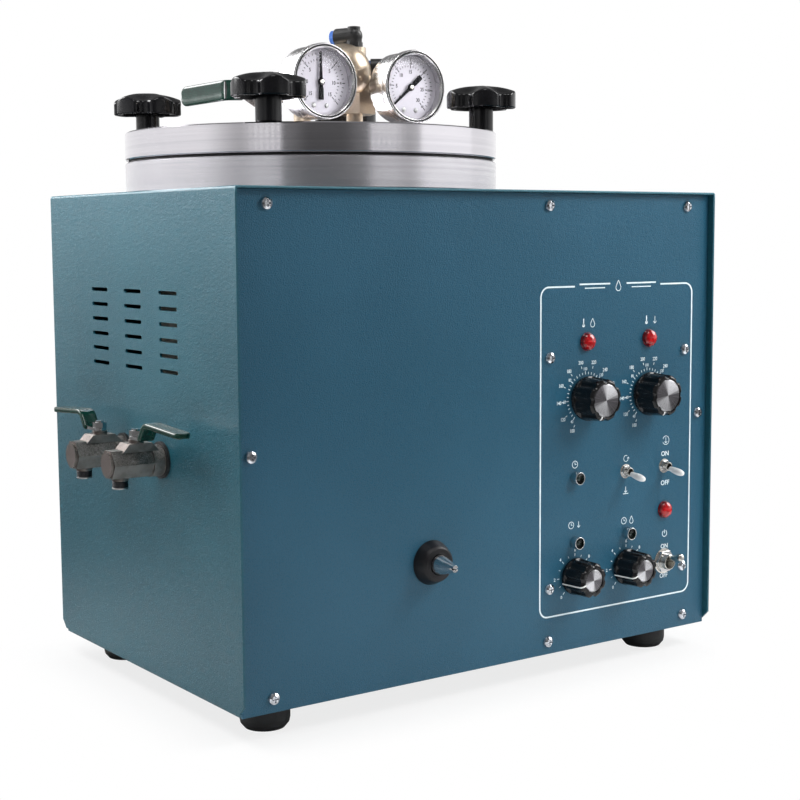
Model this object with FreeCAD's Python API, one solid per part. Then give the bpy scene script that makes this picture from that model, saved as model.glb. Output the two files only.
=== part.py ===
import FreeCAD, Part
import math
import os

os.makedirs("parts", exist_ok=True)
V = FreeCAD.Vector

# Jewelry wax injector, in millimetres.
# The case is laid out in its own coordinates: x from the cover's left face to the right,
# y from the cover's front edge to the back, z up from the floor.  put() then moves every
# node so that the origin lies on the floor, at the centre of the whole object's box.

left, right, front, back = V(-1, 0, 0), V(1, 0, 0), V(0, -1, 0), V(0, 1, 0)
up = V(0, 0, 1)

# ---------------------------------------------------------------- driving dimensions
# case
case_width = 405.0
case_depth = 275.0
cover_height = 322.0
sheet = 1.5
cover_bend = 2.0
cover_lift = 2.5            # the cover's lower edge above the pan's underside
corner_cut = 6.0            # 45 degree cut on the cover's lower corners
panel_recess = 5.0          # panels lie this far inside the cover's edges
fit_gap = 0.3               # between sheet parts that slide into each other
flange_width = 16.0
pan_wall = 24.0
foot_height = 18.0
foot_radius = 16.4
foot_taper = 3.2
foot_bulge = 0.6
foot_bulge_height = 3.0
foot_inset = 35.0

# wax tank and its lid
tank_x = 140.0
tank_y = 137.5
tank_bore_radius = 90.0
tank_wall = 6.0
tank_floor = 10.0
tank_floor_height = 138.0   # height of the cavity's floor above the ground
cover_hole_gap = 4.0        # around the tank, under its flange
flange_radius = 130.6
flange_thickness = 20.7
seal_thickness = 1.9
seal_inner_radius = 97.0
seal_width = 12.0
lid_thickness = 18.8
spigot_depth = 5.0
spigot_clearance = 1.5
edge_break = 0.8
stud_circle_radius = 121.0
stud_count = 4
stud_radius = 5.0
lid_hole_clearance = 0.5

# star knobs
knob_hub_radius = 8.3
knob_hub_length = 15.6
knob_head_radius = 24.0
knob_head_height = 15.4
knob_lobes = 5
knob_valley_radius = 8.2
knob_valley_offset = 1.0     # its centre outside the head's radius
knob_lobe_round = 1.6
knob_turns = (10.0, 64.0, 41.0, 25.0)      # where a lobe points, knob by knob
knob_rim_height = 10.4      # of the domed head at its edge
knob_shoulder_inset = 3.5
knob_crown_inset = 9.0
knob_crown_drop = 0.5
knob_stud_depth = 22.0
knob_bore_spare = 2.0
running_clearance = 0.05
turning_gap = 0.2

# gauges and their manifold
manifold_y = 145.0
gauge_rise = 75.0           # gauge centres above the cover
gauge_x = (127.5, 203.2)
gauge_front = 98.0
gauge_radius = 25.8
gauge_depth = 25.0
gauge_wall = 1.3
gauge_edge = 1.2            # turned off the case's front edge
gauge_back_edge = 3.0
bezel_length = 6.0
bezel_width = 3.7           # from the case's outside to the lens opening
bezel_ledge = 1.2           # what holds the lens and the dial
seam_width = 0.8
seam_depth = 1.4
case_step = 0.9             # the case is this much smaller than its bezel
gauge_boss_radius = 5.0
gauge_boss_gap = 3.0        # behind the dial's face
gauge_stem_flats = 14.0
gauge_thread = 7.0
gauge_inlet_radius = 1.5
lens_thickness = 1.6
dial_setback = 8.2
dial_thickness = 0.8
dial_gap = 0.1              # around the lens and the dial in their seat
pointer_lift = 1.4          # the pointer's back face in front of the dial
pointer_thickness = 0.6
pointer_reach = 20.5
pointer_tail = 12.0
pointer_tail_half = 1.6
pointer_waist = 2.0
pointer_waist_half = 0.9
pointer_end_half = 0.25
pointer_hub_radius = 2.5
pointer_hub_length = 2.6
pointer_hub_lead = 1.2      # the hub's front in front of the plate
pointer_shaft_radius = 0.8
pointer_angles = (90.0, 221.0)
bar_thickness = 20.0
column_x = 182.0
column_radius = 12.0
head_radius = 20.5          # the ball above the bar
head_offset = 10.0          # its centre to the left of the column
head_boss_radius = 8.6      # under the column's elbow
column_hex = 27.0
column_hex_low = 57.5
column_hex_height = 15.0
column_top = 105.3
column_hex_turn = 10.0
column_elbow_turn = 65.0    # the upper elbow's arm, from the left towards the back
leg_x = 137.0
leg_radius = 6.0
leg_thread = 14.8
leg_nut_flats = 17.0
leg_nut_height = 4.0
bar_chamfer = 2.0
bar_overhang = (10.0, 8.0)  # beyond the left gauge and beyond the side elbow
elbow_thread_radius = 4.0
elbow_thread = 6.5
elbow_flats = 11.0
elbow_flats_height = 4.0
elbow_flats_turn = 30.0
elbow_bore_radius = 2.0
elbow_cap_drop = 0.4        # the arm's top below the elbow's cap
elbow_cap_inset = 1.6
riser_radius = 2.5          # the upright air ways
port_radius = 5.0
side_elbow_x = 214.0
side_elbow_turn = 37.0      # its arm is turned to the back, so a tube passes the head
channel_radius = 3.0
elbow_height = 15.1
elbow_reach = 18.5
elbow_radius = 6.2
collet_radius = 5.0
collet_length = 4.0
tube_stop = 3.0             # a tube ends this far before the elbow's axis
tube_clearance = 0.1
air_tube_radius = 3.0

# ball valves
drain_y = (103.0, 159.0)
drain_height = 147.0        # above the cover's lower edge
valve_seat_gap = 18.0       # wall to the middle of a drain valve's ball
exhaust_seat_gap = 21.0     # manifold face to the middle of the exhaust valve's ball
valve_hex = 18.0
valve_outlet = 20.0
end_disc = 1.5
valve_ball_radius = 6.0
valve_bore_radius = 2.5
ball_clearance = 0.3
bonnet_foot = 26.0
bonnet_top = 16.0
bonnet_width = 14.0
bonnet_height = 4.0
gland_radius = 5.0
stem_radius = 3.0
spout_offset = 12.0
spout_radius = 4.85
spout_drop = 16.0
spout_collar = 0.6          # the spout is this much thicker at the body
drain_lever_reach = 68.5
drain_lever_width = 8.6
drain_lever_bend = 14.0      # where the crank starts, from the stem
drain_lever_slope = 7.0     # the crank's run along the lever
drain_lever_droop = 3.2     # degrees the handle falls towards its end
exhaust_lever_reach = 82.0
exhaust_lever_width = 12.0
exhaust_lever_bend = 9.0
exhaust_lever_slope = 6.0
exhaust_lever_droop = 0.0
lever_thickness = 2.0
lever_root_height = 15.4
lever_rise = 10.0
stem_nut_flats = 8.0
stem_nut_height = 3.5
grip_lead = 1.5             # the grip starts this far before the crank
grip_skin = 1.3
shank_radius = 6.6
shank_length = 14.0
port_depth = 8.0
valve_inlet_radius = 10.3
washer_radius = 12.2
washer_thickness = 2.0
lock_nut_flats = 20.0
lock_nut_height = 5.0
pipe_bore_radius = 4.0
pipe_radius = 6.75
pipe_socket = 9.0
boss_radius = 10.5
boss_reach = 4.0

# heater, jacket and stand
heater_height = 66.0
heater_thickness = 3.2
heater_split = 14.0
heater_gap_above_boss = 3.0
lug_reach = 16.0
lug_thickness = 2.0
jacket_thickness = 9.0
jacket_height = 118.0
cartridge_radius = 3.0
cartridge_length = 34.0
cartridge_depth = 30.0
cartridge_offset = 12.0
stand_ring_thickness = 6.0
stand_ring_bore = 60.0
stand_leg = 16.0
stand_leg_wall = 2.0
stand_leg_radius = 84.0
bracket_sheet = 3.0

# nozzle
nozzle_x = 146.5
nozzle_height = 76.6        # above the cover's lower edge
collar_radius = 15.1
collar_front_radius = 11.4
collar_length = 8.8
tip_radius = 6.75
tip_end_radius = 2.3
tip_length = 17.2
tip_travel = 4.0
tip_shaft_radius = 4.0
neck_radius = 7.8
block_width = 36.0
block_front = 8.0
block_length = 50.0
feed_radius = 6.0
feed_bore_radius = 3.0
feed_y = 90.0
feed_bend = 20.0
feed_socket = 8.0
shaft_length = 25.0         # the nozzle's shaft inside its valve block
spring_room = 2.0           # left for the closed return spring behind the pressed shaft
tip_orifice_radius = 1.0
tip_slot_width = 1.0
tip_slot_depth = 2.5
tip_cylinder = 1.5          # straight length of the nozzle in front of its collar
tip_lip = 0.6               # the cone's end before the mouth, wider than the mouth

# control area of the front panel; heights are above the cover's lower edge
column_a, column_b, column_c, column_d, column_e = 272.8, 283.3, 322.5, 343.3, 361.0
lamp_places = ((column_b, 216.9), (column_d, 216.9), (column_e, 88.8))
led_places = ((column_a, 121.0), (column_a, 74.7), (323.3, 75.6))
temperature_knob_places = ((column_b, 176.9), (column_d, 176.4))
timer_knob_places = ((column_a, 50.6), (column_c, 51.0))
small_toggle_places = ((column_c - 1.0, 121.2), (column_e - 0.5, 121.6))
power_toggle_place = (column_e, 50.0)
screw_rows = (6.5, 158.9, cover_height - 10.3)
panel_screw_places = ((24.0, screw_rows[2]), (248.0, screw_rows[2]), (case_width - 24.0, screw_rows[2]),
                      (10.5, screw_rows[1]), (case_width - 10.5, screw_rows[1]),
                      (24.0, screw_rows[0]), (248.0, screw_rows[0]), (case_width - 24.0, screw_rows[0]))
board_screw_places = ((249.0, 207.0), (380.0, 207.0), (249.0, 44.0), (380.0, 44.0))
lamp_radius = 6.5
lamp_dome = 5.5
lamp_rim = 1.0
lamp_neck_radius = 5.0
lamp_depth = 20.0
led_bezel_radius = 4.5
led_bezel_length = 6.0
led_neck_radius = 4.0
led_bore_radius = 2.6
led_depth = 8.0
pot_radius = 12.0
pot_depth = 9.0
pot_bush_radius = 3.5
pot_bush_reach = 4.0        # in front of the panel's face
small_bush_radius = 3.0
small_bush_reach = 4.5
power_bush_radius = 5.5
power_bush_reach = 7.0
small_lever_radius = 1.1
power_lever_radius = 2.2
small_lever_end = 1.7
power_lever_end = 2.9
toggle_pivot = 2.0          # behind the panel's face
small_switch_depth = 10.0
power_switch_depth = 26.0
small_switch_size = (9.6, 12.5)      # width and height
power_switch_size = (17.6, 22.9)
toggle_seat_play = 0.9      # the ball's seat over the lever's radius
toggle_ball_step = 0.7      # the ball over the lever's radius
toggle_flare_start = 9.9    # where a lever starts to widen, from its pivot
toggle_end_round = 2.2
sleeve_start = 9.2
sleeve_skin = 0.5
sleeve_lead = 0.3           # the sleeve beyond the lever's end
small_nut = (8.0, 2.0)      # flats and height
power_nut = (15.0, 3.0)
pot_nut = (10.0, 2.2)
temperature_knob_radius = 15.9
temperature_cap_radius = 11.6
timer_knob_radius = 13.3
timer_cap_radius = 7.9
knob_front = 21.0           # a control knob's face in front of the panel
knob_gap = 1.2
control_shaft_radius = 3.0
toggle_reach = 20.0
small_toggle_tilt = 10.0    # degrees each side of straight out
power_toggle_tilt = 15.0
board_setback = 33.5        # panel's back to the circuit board
board_thickness = 1.6
board_margin = 8.0          # beyond its standoffs
board_screw_length = 8.0
board_parts = ((17.1, 15.0, 15.0), (17.1, 15.0, 15.0), (17.1, 15.0, 15.0), (27.0, 20.0, 25.0),
               (19.8, 9.0, 4.0))     # width, height and depth of each
board_parts_start = (14.0, 40.0)
board_parts_pitch = 22.0
knob_skirt = 2.2
knob_taper = 0.93           # radius at the face over radius at the skirt
knob_edge = 1.2
knob_flutes = 8
knob_flute_radius = 3.0
knob_flute_offset = 1.5     # its centre outside the knob's radius
knob_nut_room_radius = 8.0
knob_nut_room_depth = 3.6
cap_thickness = 1.7
cap_stand = 0.8             # the cap in front of the knob's face
control_shaft_inside = 7.0  # behind the panel's face
control_shaft_grip = 4.0    # inside the knob

# fasteners
screw_radius = 2.0
screw_hole_clearance = 0.1
screw_head_radius = 4.0
screw_head_height = 2.6
screw_length = 9.0
nut_flats = 7.0
nut_height = 3.2

# vents
vent_columns = 3
vent_rows = 6
vent_length = 25.5
vent_height = 2.6
vent_pitch_y = 51.6
vent_pitch_z = 10.15
vent_first_y = 90.0
vent_first_z = 205.4
back_vent_length = 60.0
back_vent_x = 315.0

# machinery and rear connections; heights are above the floor
pump_x, pump_y = 290.0, 200.0
pump_length, pump_width, pump_height = 56.0, 60.0, 78.0
pump_foot = 8.0
pump_foot_lip = 6.0
pump_port_x = 282.0
pump_port_radius = 4.0
pump_port_length = 12.0
pump_port_bore = 2.0
pump_corner = 4.0
pump_ribs = 5
pump_rib_depth = 2.0
motor_radius = 27.0
motor_length = 66.0
motor_lift = 4.0            # its axis above the pump's middle
motor_edge = 3.0
saddle_inset = 12.0         # from the motor's ends
saddle_width = 40.0
transformer_x, transformer_y = 330.0, 100.0
core_length, core_width, core_height = 76.0, 30.0, 63.0
coil_length, coil_width, coil_height = 44.0, 54.0, 36.0
coil_round = 5.0
transformer_foot_length = 96.0
transformer_foot_height = 3.0
solenoid_x, solenoid_y = 232.0, 80.0
solenoid_base = (32.0, 28.0, 22.0)
solenoid_coil = (26.0, 32.0, 30.0)
solenoid_cap_radius = 6.0
solenoid_cap_height = 5.0
solenoid_port_radius = 5.0
solenoid_port_reach = 24.0
solenoid_port_height = 12.0
solenoid_bore = 2.0
line_radius = 6.0
line_bend = 18.0
line_rise = 40.0
hose_clearance = 0.2
tail_places = ((205.0, 65.0), (240.0, 65.0))
tail_radius = 4.0
tail_bore_radius = 2.5
tail_shank_radius = 6.5
tail_reach = 14.0
tail_depth = 18.0
inlet_x, inlet_z = 60.0, 75.0
inlet_width, inlet_height = 27.5, 20.0
inlet_depth = 24.0
inlet_flange_width, inlet_flange_height, inlet_flange_thickness = 50.0, 27.0, 2.0
socket_width, socket_height, socket_depth = 23.2, 15.2, 18.0

# ---------------------------------------------------------------- places worked out
screw_hole = screw_radius + screw_hole_clearance
pan_bottom = foot_height
pan_floor = pan_bottom + sheet
cover_bottom = pan_bottom + cover_lift
cover_top = cover_bottom + cover_height
panel_front = panel_recess
panel_rear = panel_recess + sheet
back_panel_front = case_depth - panel_rear
back_panel_rear = case_depth - panel_recess
flange_top = cover_top + flange_thickness
lid_bottom = flange_top + seal_thickness
lid_top = lid_bottom + lid_thickness
tank_radius = tank_bore_radius + tank_wall
tank_underside = tank_floor_height - tank_floor
gauge_height = cover_top + gauge_rise
manifold_front = manifold_y - bar_thickness / 2
manifold_back = manifold_y + bar_thickness / 2
column_head = cover_top + column_top
bar_top = gauge_height + bar_thickness / 2
nozzle_z = cover_bottom + nozzle_height
tip_end = panel_front - collar_length - tip_length
drain_z = drain_height + cover_bottom
valve_reach = valve_seat_gap + valve_outlet + end_disc
exhaust_x = gauge_x[0]
exhaust_y = manifold_back + exhaust_seat_gap
rear_end = back_panel_rear + tail_reach
cover_hole_radius = tank_radius + cover_hole_gap
heater_low = drain_z + boss_radius + heater_gap_above_boss
jacket_low = heater_low + heater_gap_above_boss
tail_inner_end = back_panel_front - tail_depth

box_centre_x = (case_width - valve_reach) / 2
box_centre_y = (tip_end + rear_end) / 2
to_frame = V(-box_centre_x, -box_centre_y, 0)


def panel_point(place, y):
    """A point over the front panel, from its x and its height above the cover's edge."""
    return V(place[0], y, cover_bottom + place[1])


def on_circle(centre_x, centre_y, radius, degrees, z):
    turn = math.radians(degrees)
    return V(centre_x + radius * math.cos(turn), centre_y + radius * math.sin(turn), z)


stud_angles = [45.0 + 360.0 / stud_count * i for i in range(stud_count)]
stud_points = [on_circle(tank_x, tank_y, stud_circle_radius, a, cover_top) for a in stud_angles]

# ---------------------------------------------------------------- shape helpers


def block(x0, x1, y0, y1, z0, z1):
    return Part.makeBox(x1 - x0, y1 - y0, z1 - z0, V(x0, y0, z0))


def rod(base, direction, radius, length):
    return Part.makeCylinder(radius, length, base, direction)


def ring(base, direction, outer, inner, length):
    bore = rod(base - direction, direction, inner, length + 2)
    return rod(base, direction, outer, length).cut(bore)


def aligned(shape, base, direction):
    """Turn a shape that was made along +z to point along direction, and move it to base."""
    placed = shape.copy()
    placed.Placement = FreeCAD.Placement(base, FreeCAD.Rotation(V(0, 0, 1), direction))
    return placed


def lathe(profile, base, direction):
    """Spin (radius, distance) points about an axis that starts at base."""
    corners = [V(radius, 0, along) for radius, along in profile]
    face = Part.Face(Part.makePolygon(corners + corners[:1]))
    return aligned(face.revolve(V(0, 0, 0), V(0, 0, 1), 360), base, direction)


def hexagon(base, direction, flats, length, turn=0.0):
    radius = flats / 2 / math.cos(math.pi / 6)
    angles = [math.radians(60 * i + turn) for i in range(6)]
    corners = [V(radius * math.cos(a), radius * math.sin(a), 0) for a in angles]
    face = Part.Face(Part.makePolygon(corners + corners[:1]))
    return aligned(face.extrude(V(0, 0, length)), base, direction)


def prism(corners, direction, length):
    face = Part.Face(Part.makePolygon(corners + corners[:1]))
    return face.extrude(direction * length)


def joined(shapes):
    return shapes[0].multiFuse(shapes[1:]).removeSplitter()


def bored(shape, cutters):
    return shape.cut(cutters)


def softened(shape, radius, chosen):
    edges = [edge for edge in shape.Edges if chosen(edge)]
    return shape.makeFillet(radius, edges)


def along(edge, axis):
    """True when a straight edge runs along axis."""
    if edge.Curve.TypeId != "Part::GeomLine":
        return False
    ends = edge.Vertexes
    run = ends[-1].Point - ends[0].Point
    return run.cross(axis).Length < 1e-6


nodes = {}


def put(name, *shapes):
    solids = [solid for shape in shapes for solid in shape.Solids]
    for solid in solids:
        if not solid.isValid():
            raise ValueError("invalid solid in " + name)
    whole = solids[0].copy() if len(solids) == 1 else Part.makeCompound(solids)
    whole.translate(to_frame)
    whole.exportStep("parts/" + name + ".step")
    nodes[name] = whole


def pan_head_screw(head_face, direction, length):
    """A cross-recessed pan-head screw; head_face is where the head meets the sheet."""
    head, tall = screw_head_radius, screw_head_height
    profile = [(0, -tall), (head * 0.55, -tall), (head * 0.9, -tall * 0.65), (head, -tall * 0.25),
               (head, 0), (screw_radius, 0), (screw_radius, length), (0, length)]
    screw = lathe(profile, V(0, 0, 0), up)
    slot, bar, deep = head * 0.14, head * 0.55, tall * 0.55
    for half_x, half_y in ((slot, bar), (bar, slot)):
        screw = screw.cut(block(-half_x, half_x, -half_y, half_y, -tall - 1, -tall + deep))
    return aligned(screw, head_face, direction)


# ---------------------------------------------------------------- case


def lower_corner_cuts(x0, x1):
    """45 degree cuts at the front and back ends of a side wall's lower edge."""
    cuts = []
    for y, inward in ((0.0, 1), (case_depth, -1)):
        corners = [V(x0, y - inward, cover_bottom - 1),
                   V(x0, y + inward * (corner_cut + 1), cover_bottom - 1),
                   V(x0, y - inward, cover_bottom + corner_cut + 1)]
        cuts.append(prism(corners, right, x1 - x0))
    return cuts


def vent_slots(x0, x1):
    slots = []
    half = vent_height / 2
    for i in range(vent_columns):
        for k in range(vent_rows):
            y = vent_first_y + vent_pitch_y * i
            z = cover_bottom + vent_first_z + vent_pitch_z * k
            run = vent_length / 2 - half
            slots.append(block(x0, x1, y - run, y + run, z - half, z + half))
            slots.append(rod(V(x0, y - run, z), right, half, x1 - x0))
            slots.append(rod(V(x0, y + run, z), right, half, x1 - x0))
    return slots


def panel_flange(y, inward):
    """The welded frame behind a panel: top and both sides, with threaded bosses."""
    low = pan_bottom + pan_wall + fit_gap
    thick = sheet * inward
    y0, y1 = min(y, y + thick), max(y, y + thick)
    outer = block(sheet / 2, case_width - sheet / 2, y0, y1, low, cover_top - sheet / 2)
    opening = block(sheet + flange_width, case_width - sheet - flange_width, y0 - 1, y1 + 1,
                    low - 1, cover_top - sheet - flange_width)
    return outer.cut(opening)


def screw_bosses(places, y, inward):
    face = V(0, inward, 0)
    return [hexagon(panel_point(p, y), face, nut_flats, nut_height + sheet) for p in places]


upper_places = [p for p in panel_screw_places if p[1] > pan_wall]
lower_places = [p for p in panel_screw_places if p[1] <= pan_wall]


def make_cover():
    shell = block(0, case_width, 0, case_depth, cover_bottom, cover_top)
    shell = softened(shell, cover_bend, lambda e: along(e, back) and e.CenterOfMass.z > cover_top - 1)
    inside = block(sheet, case_width - sheet, -1, case_depth + 1, cover_bottom - 1, cover_top - sheet)
    shell = shell.cut(inside)
    parts = [shell, panel_flange(panel_rear, 1), panel_flange(back_panel_front, -1)]
    parts += screw_bosses(upper_places, panel_rear, 1)
    parts += screw_bosses(upper_places, back_panel_front, -1)
    cover = joined(parts)
    cuts = lower_corner_cuts(-1, sheet + 1)
    cuts += lower_corner_cuts(case_width - sheet - 1, case_width + 1)
    cuts += vent_slots(-1, sheet + 1)
    cuts += vent_slots(case_width - sheet - 1, case_width + 1)
    cuts.append(rod(V(tank_x, tank_y, cover_top - 2 * sheet), up, cover_hole_radius, 4 * sheet))
    for place in upper_places:
        cuts.append(rod(panel_point(place, -1), back, screw_hole, case_depth + 2))
    for y in drain_y:
        cuts.append(rod(V(-1, y, drain_z), right, shank_radius + fit_gap, sheet + 2))
    return bored(cover, cuts)


foot_points = [V(x, y, 0) for x in (foot_inset, case_width - foot_inset)
               for y in (foot_inset, case_depth - foot_inset)]


def make_pan():
    x0, x1 = sheet + fit_gap, case_width - sheet - fit_gap
    tray = block(x0, x1, panel_rear, back_panel_front, pan_bottom, pan_bottom + pan_wall)
    tray = tray.cut(block(x0 + sheet, x1 - sheet, panel_rear + sheet, back_panel_front - sheet,
                          pan_floor, pan_bottom + pan_wall + 1))
    parts = [tray] + screw_bosses(lower_places, panel_rear, 1)
    parts += screw_bosses(lower_places, back_panel_front, -1)
    pan = joined(parts)
    cuts = [rod(panel_point(place, -1), back, screw_hole, case_depth + 2) for place in lower_places]
    cuts += [rod(point, up, screw_hole, foot_height + 10) for point in foot_points]
    return bored(pan, cuts)


def plain_panel(y):
    edge = sheet + fit_gap
    return block(edge, case_width - edge, y, y + sheet, pan_bottom, cover_top - edge)


def make_front_panel():
    panel = plain_panel(panel_front)
    holes = [(V(nozzle_x, -1, nozzle_z), neck_radius + fit_gap)]
    holes += [(panel_point(p, -1), screw_hole) for p in panel_screw_places + board_screw_places]
    holes += [(panel_point(p, -1), lamp_neck_radius + running_clearance) for p in lamp_places]
    holes += [(panel_point(p, -1), led_neck_radius + running_clearance) for p in led_places]
    holes += [(panel_point(p, -1), pot_bush_radius + running_clearance)
              for p in temperature_knob_places + timer_knob_places]
    holes += [(panel_point(p, -1), small_bush_radius + running_clearance) for p in small_toggle_places]
    holes.append((panel_point(power_toggle_place, -1), power_bush_radius + running_clearance))
    return bored(panel, [rod(point, back, radius, 4 * sheet + panel_recess) for point, radius in holes])


def make_back_panel():
    panel = plain_panel(back_panel_front)
    cuts = [rod(panel_point(p, back_panel_front - 1), back, screw_hole, sheet + 2)
            for p in panel_screw_places]
    cuts.append(block(inlet_x - inlet_width / 2 - fit_gap, inlet_x + inlet_width / 2 + fit_gap,
                      back_panel_front - 1, back_panel_rear + 1,
                      inlet_z - inlet_height / 2 - fit_gap, inlet_z + inlet_height / 2 + fit_gap))
    for x, z in tail_places:
        cuts.append(rod(V(x, back_panel_front - 1, z), back, tail_shank_radius + fit_gap, sheet + 2))
    half_x, half_z = back_vent_length / 2, vent_height / 2
    for k in range(vent_rows):
        z = cover_bottom + vent_first_z + vent_pitch_z * k
        cuts.append(block(back_vent_x - half_x, back_vent_x + half_x,
                          back_panel_front - 1, back_panel_rear + 1, z - half_z, z + half_z))
    return bored(panel, cuts)


put("cabinet_cover", make_cover())
put("base_pan", make_pan())
put("front_panel", make_front_panel())
put("back_panel", make_back_panel())

# feet, each with a screw from below and a nut on the pan's floor
foot_recess_radius = screw_head_radius + 1.0
foot_recess = foot_height / 2
foot_profile = [(foot_recess_radius, 0), (foot_radius - foot_taper, 0),
                (foot_radius - foot_bulge, foot_taper), (foot_radius, foot_taper + foot_bulge_height),
                (foot_radius, foot_height), (screw_hole, foot_height),
                (screw_hole, foot_recess), (foot_recess_radius, foot_recess)]
put("rubber_feet", *[lathe(foot_profile, point, up) for point in foot_points])


def make_case_fasteners():
    pieces = [pan_head_screw(panel_point(p, panel_front), back, screw_length) for p in panel_screw_places]
    pieces += [pan_head_screw(panel_point(p, back_panel_rear), front, screw_length)
               for p in panel_screw_places]
    length = foot_height - foot_recess + sheet + nut_height + 1
    for point in foot_points:
        pieces.append(pan_head_screw(point + V(0, 0, foot_recess), up, length))
        nut = hexagon(point + V(0, 0, pan_floor), up, nut_flats, nut_height)
        pieces.append(nut.cut(rod(point, up, screw_radius, pan_floor + 20)))
    for y in drain_y:
        nut = hexagon(V(sheet, y, drain_z), right, lock_nut_flats, lock_nut_height)
        pieces.append(nut.cut(rod(V(0, y, drain_z), right, shank_radius, 20)))
    return pieces


put("case_fasteners", *make_case_fasteners())

# ---------------------------------------------------------------- wax tank
boss_face_x = tank_x - tank_radius - boss_reach
pipe_start_x = shank_length
pipe_end_x = boss_face_x + pipe_socket


def make_tank():
    wall = [(0, tank_underside), (tank_radius, tank_underside), (tank_radius, cover_top),
            (flange_radius - edge_break, cover_top), (flange_radius, cover_top + edge_break),
            (flange_radius, flange_top - edge_break), (flange_radius - edge_break, flange_top),
            (0, flange_top)]
    axis = V(tank_x, tank_y, 0)
    parts = [lathe(wall, axis, up)]
    parts += [rod(V(boss_face_x, y, drain_z), right, boss_radius, boss_reach + tank_radius / 3)
              for y in drain_y]
    tank = joined(parts)
    cuts = [rod(V(tank_x, tank_y, tank_floor_height), up, tank_bore_radius, flange_top)]
    for y in drain_y:
        cuts.append(rod(V(boss_face_x - 1, y, drain_z), right, pipe_radius + running_clearance,
                        pipe_socket + 1))
        cuts.append(rod(V(boss_face_x, y, drain_z), right, pipe_bore_radius, tank_radius / 2))
    cuts += [rod(point - V(0, 0, 1), up, stud_radius, flange_thickness + 2) for point in stud_points]
    cuts.append(rod(V(nozzle_x, feed_y, tank_underside - 1), up, feed_radius + running_clearance,
                    feed_socket + 1))
    cuts.append(rod(V(nozzle_x, feed_y, tank_underside), up, feed_bore_radius, 2 * tank_floor))
    return bored(tank, cuts)


put("wax_tank", make_tank())
put("clamp_studs", *[rod(p, up, stud_radius, lid_top - cover_top + knob_stud_depth) for p in stud_points])

# stand: a ring under the tank on four square legs, and a bracket under the nozzle valve
def make_stand():
    ring_low = tank_underside - stand_ring_thickness
    parts = [ring(V(tank_x, tank_y, ring_low), up, tank_radius - 1, stand_ring_bore, stand_ring_thickness)]
    outer, inner = stand_leg / 2, stand_leg / 2 - stand_leg_wall
    for angle in stud_angles:
        p = on_circle(tank_x, tank_y, stand_leg_radius, angle, pan_floor)
        leg = block(p.x - outer, p.x + outer, p.y - outer, p.y + outer, pan_floor, ring_low + 1)
        core = block(p.x - inner, p.x + inner, p.y - inner, p.y + inner, pan_floor - 1, ring_low - 1)
        parts.append(leg.cut(core))
    return joined(parts)


def make_nozzle_bracket():
    half = block_width / 2
    x0, x1 = nozzle_x - half, nozzle_x + half
    y0, y1 = block_front + block_length / 6, block_front + block_length * 5 / 6
    low, high = pan_floor, nozzle_z - half
    shelf = block(x0, x1, y0, y1, high - bracket_sheet, high)
    foot = block(x0, x1, y0, y1, low, low + bracket_sheet)
    web = block(nozzle_x - bracket_sheet / 2, nozzle_x + bracket_sheet / 2, y0, y1, low + 1, high - 1)
    return joined([shelf, foot, web])


put("tank_stand", make_stand(), make_nozzle_bracket())

# heater band with its clamp lugs on the right side, nozzle cartridge and a felt jacket
cartridge_start = V(nozzle_x + cartridge_offset, block_front + block_length - cartridge_depth, nozzle_z)


def make_heaters():
    inner = tank_radius + fit_gap
    outer = inner + heater_thickness
    half = heater_split / 2
    band = ring(V(tank_x, tank_y, heater_low), up, outer, inner, heater_height)
    band = band.cut(block(tank_x, tank_x + outer + 1, tank_y - half, tank_y + half,
                          heater_low - 1, heater_low + heater_height + 1))
    parts = [band]
    for y in (tank_y - half - lug_thickness, tank_y + half):
        parts.append(block(tank_x + inner + fit_gap, tank_x + outer + lug_reach, y, y + lug_thickness,
                           heater_low + heater_height / 4, heater_low + heater_height * 3 / 4))
    head_face = V(tank_x + outer + lug_reach / 2, tank_y - half - lug_thickness,
                  heater_low + heater_height / 2)
    band = joined(parts).cut(rod(head_face - back, back, screw_hole, 2 * heater_split))
    bolt = pan_head_screw(head_face, back, heater_split + 4 * lug_thickness)
    cartridge = rod(cartridge_start, back, cartridge_radius, cartridge_length)
    return band, bolt, cartridge


put("heaters", *make_heaters())


def make_jacket():
    inner = tank_radius + 2 * fit_gap + heater_thickness
    outer = inner + jacket_thickness
    felt = ring(V(tank_x, tank_y, jacket_low), up, outer, inner, jacket_height)
    return felt.cut(block(tank_x, tank_x + outer + 1, tank_y - heater_split, tank_y + heater_split,
                          jacket_low - 1, jacket_low + jacket_height + 1))


put("insulation_jacket", make_jacket())

# pipes from the tank to the drain valves' shanks
pipes = [ring(V(pipe_start_x, y, drain_z), right, pipe_radius, pipe_bore_radius,
              pipe_end_x - pipe_start_x) for y in drain_y]
put("drain_pipes", *pipes)

# ---------------------------------------------------------------- ball valves


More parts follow.
